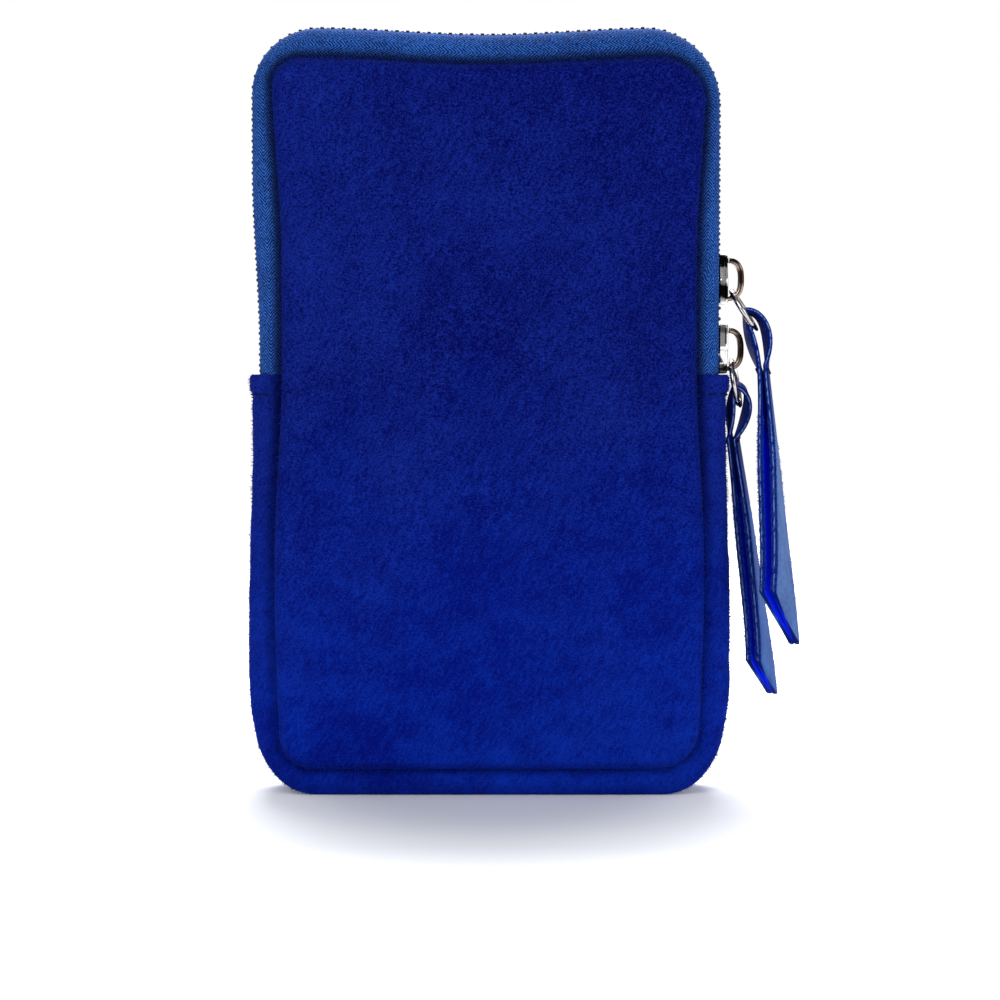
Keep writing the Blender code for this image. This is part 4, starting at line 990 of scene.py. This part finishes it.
def folded_strip(lean, neck, bulge, gap, drift, yaw_end, columns):
    """A folded strip's middle surface, from its inner end over the fold, and its thicknesses.

    The fold is a teardrop: its sides part by bulge (1 - f) sqrt(f) / peak, f being the share of
    the way down to the neck, and it twists by FOLD_TWIST sin(pi f) degrees. Below the neck each
    leg thickens and parts from the other at its near edge, drifts out with
    1 - (1 - s)^DRIFT_POWER, s being the share of the way down it, and turns towards yaw_end.
    """
    rise = RING_RADIUS - FOLD_OFFSET
    fold = np.array([-sin(radians(lean)), cos(radians(lean))]) * rise
    line = np.array(neck) - fold
    normal = np.array([-line[1], line[0]]) / np.linalg.norm(line)
    peak = (2 / 3) / sqrt(3)
    apart = (STRIP + NECK_GAP) / 2
    widths = [width / 2 - STRIP / 2 for width in STRIP_WIDTHS]
    middle, half = sum(STRIP_LENGTHS) / 2, (STRIP_LENGTHS[1] - STRIP_LENGTHS[0]) / 2
    lengths = middle + half * columns
    far = ease((columns + 1) / 2)
    legs = []
    for side, swell in ((-1, bulge[0]), (1, bulge[1])):
        s = np.linspace(0, 1, FOLD_STEPS + 1)[1:, None]
        f = s * s
        spread = swell * (1 - f) * s / peak + apart * f
        wide = columns * (widths[0] + (widths[1] - widths[0]) * f)
        twist = radians(FOLD_TWIST) * np.sin(pi * f)
        spot = fold + line * f
        off = side * spread * np.cos(twist) - wide * np.sin(twist)
        wide = side * spread * np.sin(twist) + wide * np.cos(twist)
        top = np.stack([spot[:, :1] + normal[0] * off, wide, spot[:, 1:] + normal[1] * off], axis=-1)
        s = np.linspace(0, 1, LEG_STEPS + 1)[1:, None]
        opened = ease(s / STRIP_SPREAD)
        parted_by = gap * (1 - far) + STRIP_LEG - STRIP - GAP_LOST * NECK_GAP * far
        x = side * (apart + parted_by / 2 * opened) + RIPPLE * np.sin(RIPPLE_TURN * s) * s
        y = columns * (widths[1] + (widths[2] - widths[1]) * s)
        yaw = -np.radians(yaw_end - PULL_YAW) * s
        shift = neck[0] + drift * (1 - (1 - s) ** DRIFT_POWER)
        across = shift + x * np.cos(yaw) - y * np.sin(yaw)
        leg = np.stack([across, x * np.sin(yaw) + y * np.cos(yaw), neck[1] - lengths * s], axis=-1)
        legs.append(np.concatenate([top, leg]))
    bend = np.stack([fold[0] + 0 * columns, columns * widths[0], fold[1] + 0 * columns], axis=-1)
    level = np.concatenate([np.zeros(FOLD_STEPS), opened[:, 0]])
    level = np.concatenate([level[::-1], np.zeros(1), level])
    return np.concatenate([legs[0][::-1], bend[None], legs[1]]), STRIP + (STRIP_LEG - STRIP) * level


def thick_strip(name, sheet, thickness):
    """A solid strip round its middle surface, with round edges and a thickness for each row.

    Gives the strip and its rows of points. Marks cut, 1 along the middle of a cut edge, and
    outside, 1 on the outer face and -1 within.
    """
    ahead = np.gradient(sheet, axis=0)
    along = np.gradient(sheet, axis=1)
    normal = np.cross(ahead, along)
    normal /= np.linalg.norm(normal, axis=2)[..., None]
    wide = sheet[:, -1:] - sheet[:, :1]
    wide /= np.linalg.norm(wide, axis=2)[..., None]
    turn = np.linspace(pi / 2, -pi / 2, CUT_POINTS + 2)[1:-1]
    reach = np.broadcast_to(thickness, len(sheet))[:, None, None] / 2
    edges = []
    for column, side in ((-1, 1), (0, -1)):
        aside, over = side * np.cos(turn)[:, None], side * np.sin(turn)[:, None]
        out = wide * aside + normal[:, column, None] * over
        edges.append(sheet[:, column, None] + out * reach)
    faces = sheet + normal * reach, (sheet - normal * reach)[:, ::-1]
    rows = np.concatenate([faces[0], edges[0], faces[1], edges[1]], axis=1)
    level = np.ones(sheet.shape[1])
    cut = np.concatenate([0 * level, np.cos(turn), 0 * level, np.cos(turn)])
    outside = np.concatenate([level, np.sin(turn), -level, -np.sin(turn)])
    marks = {"cut": cut, "outside": outside}
    marks = {word: np.broadcast_to(value, rows.shape[:2]) for word, value in marks.items()}
    return surface(name, rows, around=True, flip=True, caps=(0, -1), marks=marks), rows


def strip_suede(name, pale, neck):
    """Strip suede: its outside smooth and glossy, bluer round the fold and pale below the neck,
    partly painted sheen; deep blue flesh inside, painted brighter below the neck as light
    between the legs; and raw cut edges with a pale core broken by fibres."""
    finish = Finish(name, {"Specular IOR Level": 0.03})
    cut = finish.mark("cut")
    outside = finish.mark("outside")
    below = finish.coordinate(2) * (-1 / POUCH_HEIGHT) + (neck / POUCH_HEIGHT + 0.5)
    lie = finish.noise(5 * MM, 4.0, (1.0, 1.0, 1.6))
    grain = finish.noise(0.5 * MM, 3.0, (1.0, 1.0, 1.6))
    # Below the neck the outside turns pale, partly painted sheen, and the flesh brighter, painted
    # light; round the fold both stay deep blue.
    lighter_below_neck = finish.ramp(below, (0.5, 0.0), (0.6, 1.0))
    flesh = finish.mix(lighter_below_neck, DEEP_BLUE, finish.mix(grain, *FLESH_PAINTED_LIGHT_BLUES))
    lighter_below_neck = lighter_below_neck * finish.ramp(lie * 0.55 + grain * 0.45, (0.36, 0.45), (0.6, 1.0))
    face = finish.mix(lighter_below_neck, DEEP_BLUE, pale)
    fibre = finish.noise(0.34 * MM, 3.0, (1.0, 1.0, 5.0))
    core = finish.ramp(cut, (0.91, 0.0), (0.99, 1.0))
    core = core * finish.ramp(fibre, (0.42, 0.0), (0.54, 1.0))
    edge = finish.mix(core, *CUT_BLUES)
    skin = finish.mix(outside > 0.0, flesh, face)
    rough = 0.85 - (outside > 0.5) * 0.3
    finish.feed({"Base Color": finish.mix(cut > 0.2, skin, edge), "Roughness": rough})
    finish.feed({"Normal": finish.bump(grain, 0.1 * MM, 0.6, finish.bump(lie, 0.4 * MM, 0.3))})
    return finish.made


strip_fibres = fibres("loose strip fibres", STRIP_FIBRE_BLUE)
half_round = STRIP_COLUMNS + CUT_POINTS
far_edge = np.arange(STRIP_COLUMNS - 1, half_round + 1)
near_edge = (far_edge + half_round) % (2 * half_round)
for word, (neck, bulge, gap, drift, yaw_end, fan) in PULL_SHAPES.items():
    columns = np.linspace(-1, 1, STRIP_COLUMNS)
    sheet, thickness = folded_strip(RING_LEANS[word], neck, bulge, gap, drift, yaw_end, columns)
    lean = (pull_turn @ turned(fan, "x")).T
    tab, rows = thick_strip(f"pull_{word}", sheet @ lean + ring_ends[word], thickness)
    neck_height = ring_ends[word][2] + neck[1]
    tab.data.materials.append(strip_suede(f"strip suede {word}", PALE_SHEEN_BLUES[word], neck_height))
    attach(tab, f"{word}_tab")
    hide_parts(f"pull_tab_{word}")
    for leg, part in (("inner", (0.0, 0.3)), ("outer", (0.7, 1.0))):
        for edge, columns in (("far", far_edge), ("near", near_edge)):
            name = f"pull_{word}_{leg}_{edge}_nap"
            fuzz = nap(name, rows[:, columns], STRIP_FIBRES, STRIP_FIBRE_REACH, 1, 41, part)
            fuzz.data.materials.append(strip_fibres)
            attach(fuzz, f"{word}_tab")
    reach = STRIP + NECK_GAP / 2 + TIE_PROUD
    spots, outs = [], []
    for out in (-1, 1):
        for place in TIE_PLACES:
            spots.append((neck[0] + out * reach, place, neck[1] - TIE_DROP))
            outs.append((out, 0.0, 0.0))
    spots, outs = np.array(spots) @ lean + ring_ends[word], np.array(outs) @ lean
    runs = np.tile(np.array([0.0, 1.0, TIE_SLANT]) @ lean, (len(spots), 1))
    tie = stitches(f"tie_{word}", spots, runs, outs, TIE_LENGTH, TIE_RADIUS)
    tie.data.materials.append(navy_thread)
    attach(tie, f"{word}_tab")

# Behind each top corner a suede loop, sewn into the seam and to the back, holds a D-ring for
# the strap's clip.
LOOP_SPACING = 64 * MM
LOOP_WIDTH = 10 * MM
LOOP_DROP = 13.8 * MM
LOOP_START = 70
D_WIRE = 1.0 * MM
D_HALF_WIDTH = 6.6 * MM
D_HEIGHT = 9.5 * MM
D_CORNER = 1.6 * MM


def bow(centre, radius, start, end, steps):
    """Points of an arc round a centre, angles in degrees."""
    turn = np.radians(np.linspace(start, end, steps))[:, None]
    return np.array(centre) + radius * np.concatenate([np.cos(turn), np.sin(turn)], axis=1)


loop_top = SEAM_TOP - SEAM_STEP - EDGE_ROLL
crown_middle = (SEAM_BASE + SEAM_TOP) / 2
share = (loop_top - LOOP_DROP - crown_middle) / (loop_top - crown_middle)
back = SEAM_HALF_DEPTH + EDGE_ROLL + CROWN * (1 - share**CROWN_POWER)
bar = (back + 2 * CLEARANCE + STRIP + D_WIRE, loop_top - LOOP_DROP)
for word, side in (("left", -1), ("right", 1)):
    middle = side * LOOP_SPACING / 2
    drop = dipped(np.array([[middle, 0.0]]))[0, 1]
    inner = EDGE_ROLL + CLEARANCE + STRIP / 2
    outer = inner + STRIP + CLEARANCE
    hold = D_WIRE + CLEARANCE + STRIP / 2
    seam = (SEAM_HALF_DEPTH, loop_top)
    down = np.linspace((SEAM_HALF_DEPTH + inner, loop_top), (bar[0] - hold, bar[1]), 26)
    back_up = np.linspace((bar[0] + hold, bar[1]), (SEAM_HALF_DEPTH + outer, loop_top), 26)
    line = np.concatenate([
        bow(seam, inner, LOOP_START, 0, 16),
        down[1:-1],
        bow(bar, hold, 180, 360, 24),
        back_up[1:-1],
        bow(seam, outer, 0, LOOP_START, 16),
    ])
    columns = middle + np.linspace(-1, 1, 13) * (LOOP_WIDTH - STRIP) / 2
    sheet = np.stack(np.broadcast_arrays(columns, line[:, :1], line[:, 1:] + drop), axis=-1)
    loop, _ = thick_strip(f"loop_{word}", sheet, STRIP)
    loop.data.materials.append(band_suede)
    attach(loop, "pouch")
    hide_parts(f"strap_loop_{word}")

    # The D-ring is a straight bar with a quarter-round corner at each end and half an ellipse.
    bend = D_HALF_WIDTH - D_CORNER
    turn = np.linspace(0, pi, 60)[1:-1]
    lower = D_HEIGHT - D_CORNER
    wire = np.concatenate([
        np.linspace((-bend, 0.0), (bend, 0.0), 20),
        bow((bend, -D_CORNER), D_CORNER, 80, 0, 9),
        np.stack([D_HALF_WIDTH * np.cos(turn), -D_CORNER - lower * np.sin(turn)], axis=1),
        bow((-bend, -D_CORNER), D_CORNER, 180, 100, 9),
    ])
    across, up = wire.T
    path = np.stack([middle + across, bar[0] + 0 * across, bar[1] + drop + up], axis=1)
    over = np.array([0.0, 1.0, 0.0])
    ring = swept(f"strap_ring_{word}", path, over, D_WIRE, D_WIRE, closed=True)
    ring.data.materials.append(ring_nickel)
    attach(ring, f"{word}_d_ring")
    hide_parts(f"d_ring_{word}")

# Studio: a white sweep under broad soft light, with the camera square to the pouch and a
# little above its middle.
CAMERA_AIM = (2.5 * MM, 0.0, 68.8 * MM)
CAMERA_DISTANCE = 559 * MM
CAMERA_TILT = 2.5
FLOOR = 3.0
SWEEP_WHITE = (0.80, 0.82, 0.88)
GLOW_STRETCH = (1.3, 1.0, 1.0)
GLOW_STARTS, GLOW_WHOLE = 0.014, 0.058
AIR_LIGHT = 0.3


def lamp(name, place, power, size=0.6, aim=(0.0, 0.0, 0.08)):
    """A square area light at a place, turned to face a point."""
    data = bpy.data.lights.new(name, "AREA")
    data.shape = "SQUARE"
    data.size = size
    data.energy = power
    made = bpy.data.objects.new(name, data)
    made.location = place
    away = made.location - Vector(aim)
    made.rotation_euler = away.to_track_quat("Z", "Y").to_euler()
    bpy.context.scene.collection.objects.link(made)


def seen_directly(finish):
    """1 for camera rays, and for rays reflected or let through by a glossy piece, else 0."""
    kinds = ("Camera", "Glossy", "Transmission")
    rays = [finish.node("LightPath", {}, {}, f"Is {kind} Ray") for kind in kinds]
    return finish.clamp(rays[0] + rays[1] + rays[2])


side = np.linspace(-FLOOR / 2, FLOOR / 2, 3)
floor = surface("floor", np.stack(np.meshgrid(side, side) + [np.zeros((3, 3))], axis=-1))
white = Finish("white sweep", {"Roughness": 0.9, "Base Color": (*SWEEP_WHITE, 1.0)})
spot = white.node("VectorMath", {"operation": "MULTIPLY"}, {0: white.place(), 1: GLOW_STRETCH})
away = white.node("VectorMath", {"operation": "LENGTH"}, {0: spot}, 1)
glow = white.ramp(away * (1 / FLOOR), (GLOW_STARTS, 0.0), (GLOW_WHOLE, 1.0))
white.feed({"Emission Color": white.mix(seen_directly(white) * glow, (0, 0, 0), (1, 1, 1))})
white.feed({"Emission Strength": 1.0})
floor.data.materials.append(white.made)

world = bpy.data.worlds.new("studio")
bpy.context.scene.world = world
world.use_nodes = True
tree = world.node_tree
rays = tree.nodes.new("ShaderNodeLightPath")
level = tree.nodes.new("ShaderNodeMapRange")
level.inputs["To Min"].default_value = AIR_LIGHT
tree.links.new(rays.outputs["Is Camera Ray"], level.inputs["Value"])
tree.links.new(level.outputs[0], tree.nodes["Background"].inputs["Strength"])
tree.nodes["Background"].inputs["Color"].default_value = (1.0, 1.0, 1.0, 1.0)

lamp("key", place=(-0.3, -0.8, 0.6), power=4.6)
lamp("fill", place=(0.7, -0.55, 0.3), power=2.6)
lamp("back", place=(0.0, 0.5, 0.75), power=12.0, aim=(0.0, -0.05, 0.0))

eye = bpy.data.cameras.new("camera")
eye.lens = 85
eye.sensor_width = 36
eye.clip_start = 0.01
camera = bpy.data.objects.new("camera", eye)
tilt = radians(CAMERA_TILT)
camera.location = (
    CAMERA_AIM[0],
    CAMERA_AIM[1] - CAMERA_DISTANCE * cos(tilt),
    CAMERA_AIM[2] + CAMERA_DISTANCE * sin(tilt),
)
camera.rotation_euler = (pi / 2 - tilt, 0.0, 0.0)
bpy.context.scene.collection.objects.link(camera)
bpy.context.scene.camera = camera
bpy.context.scene.view_settings.view_transform = "Standard"
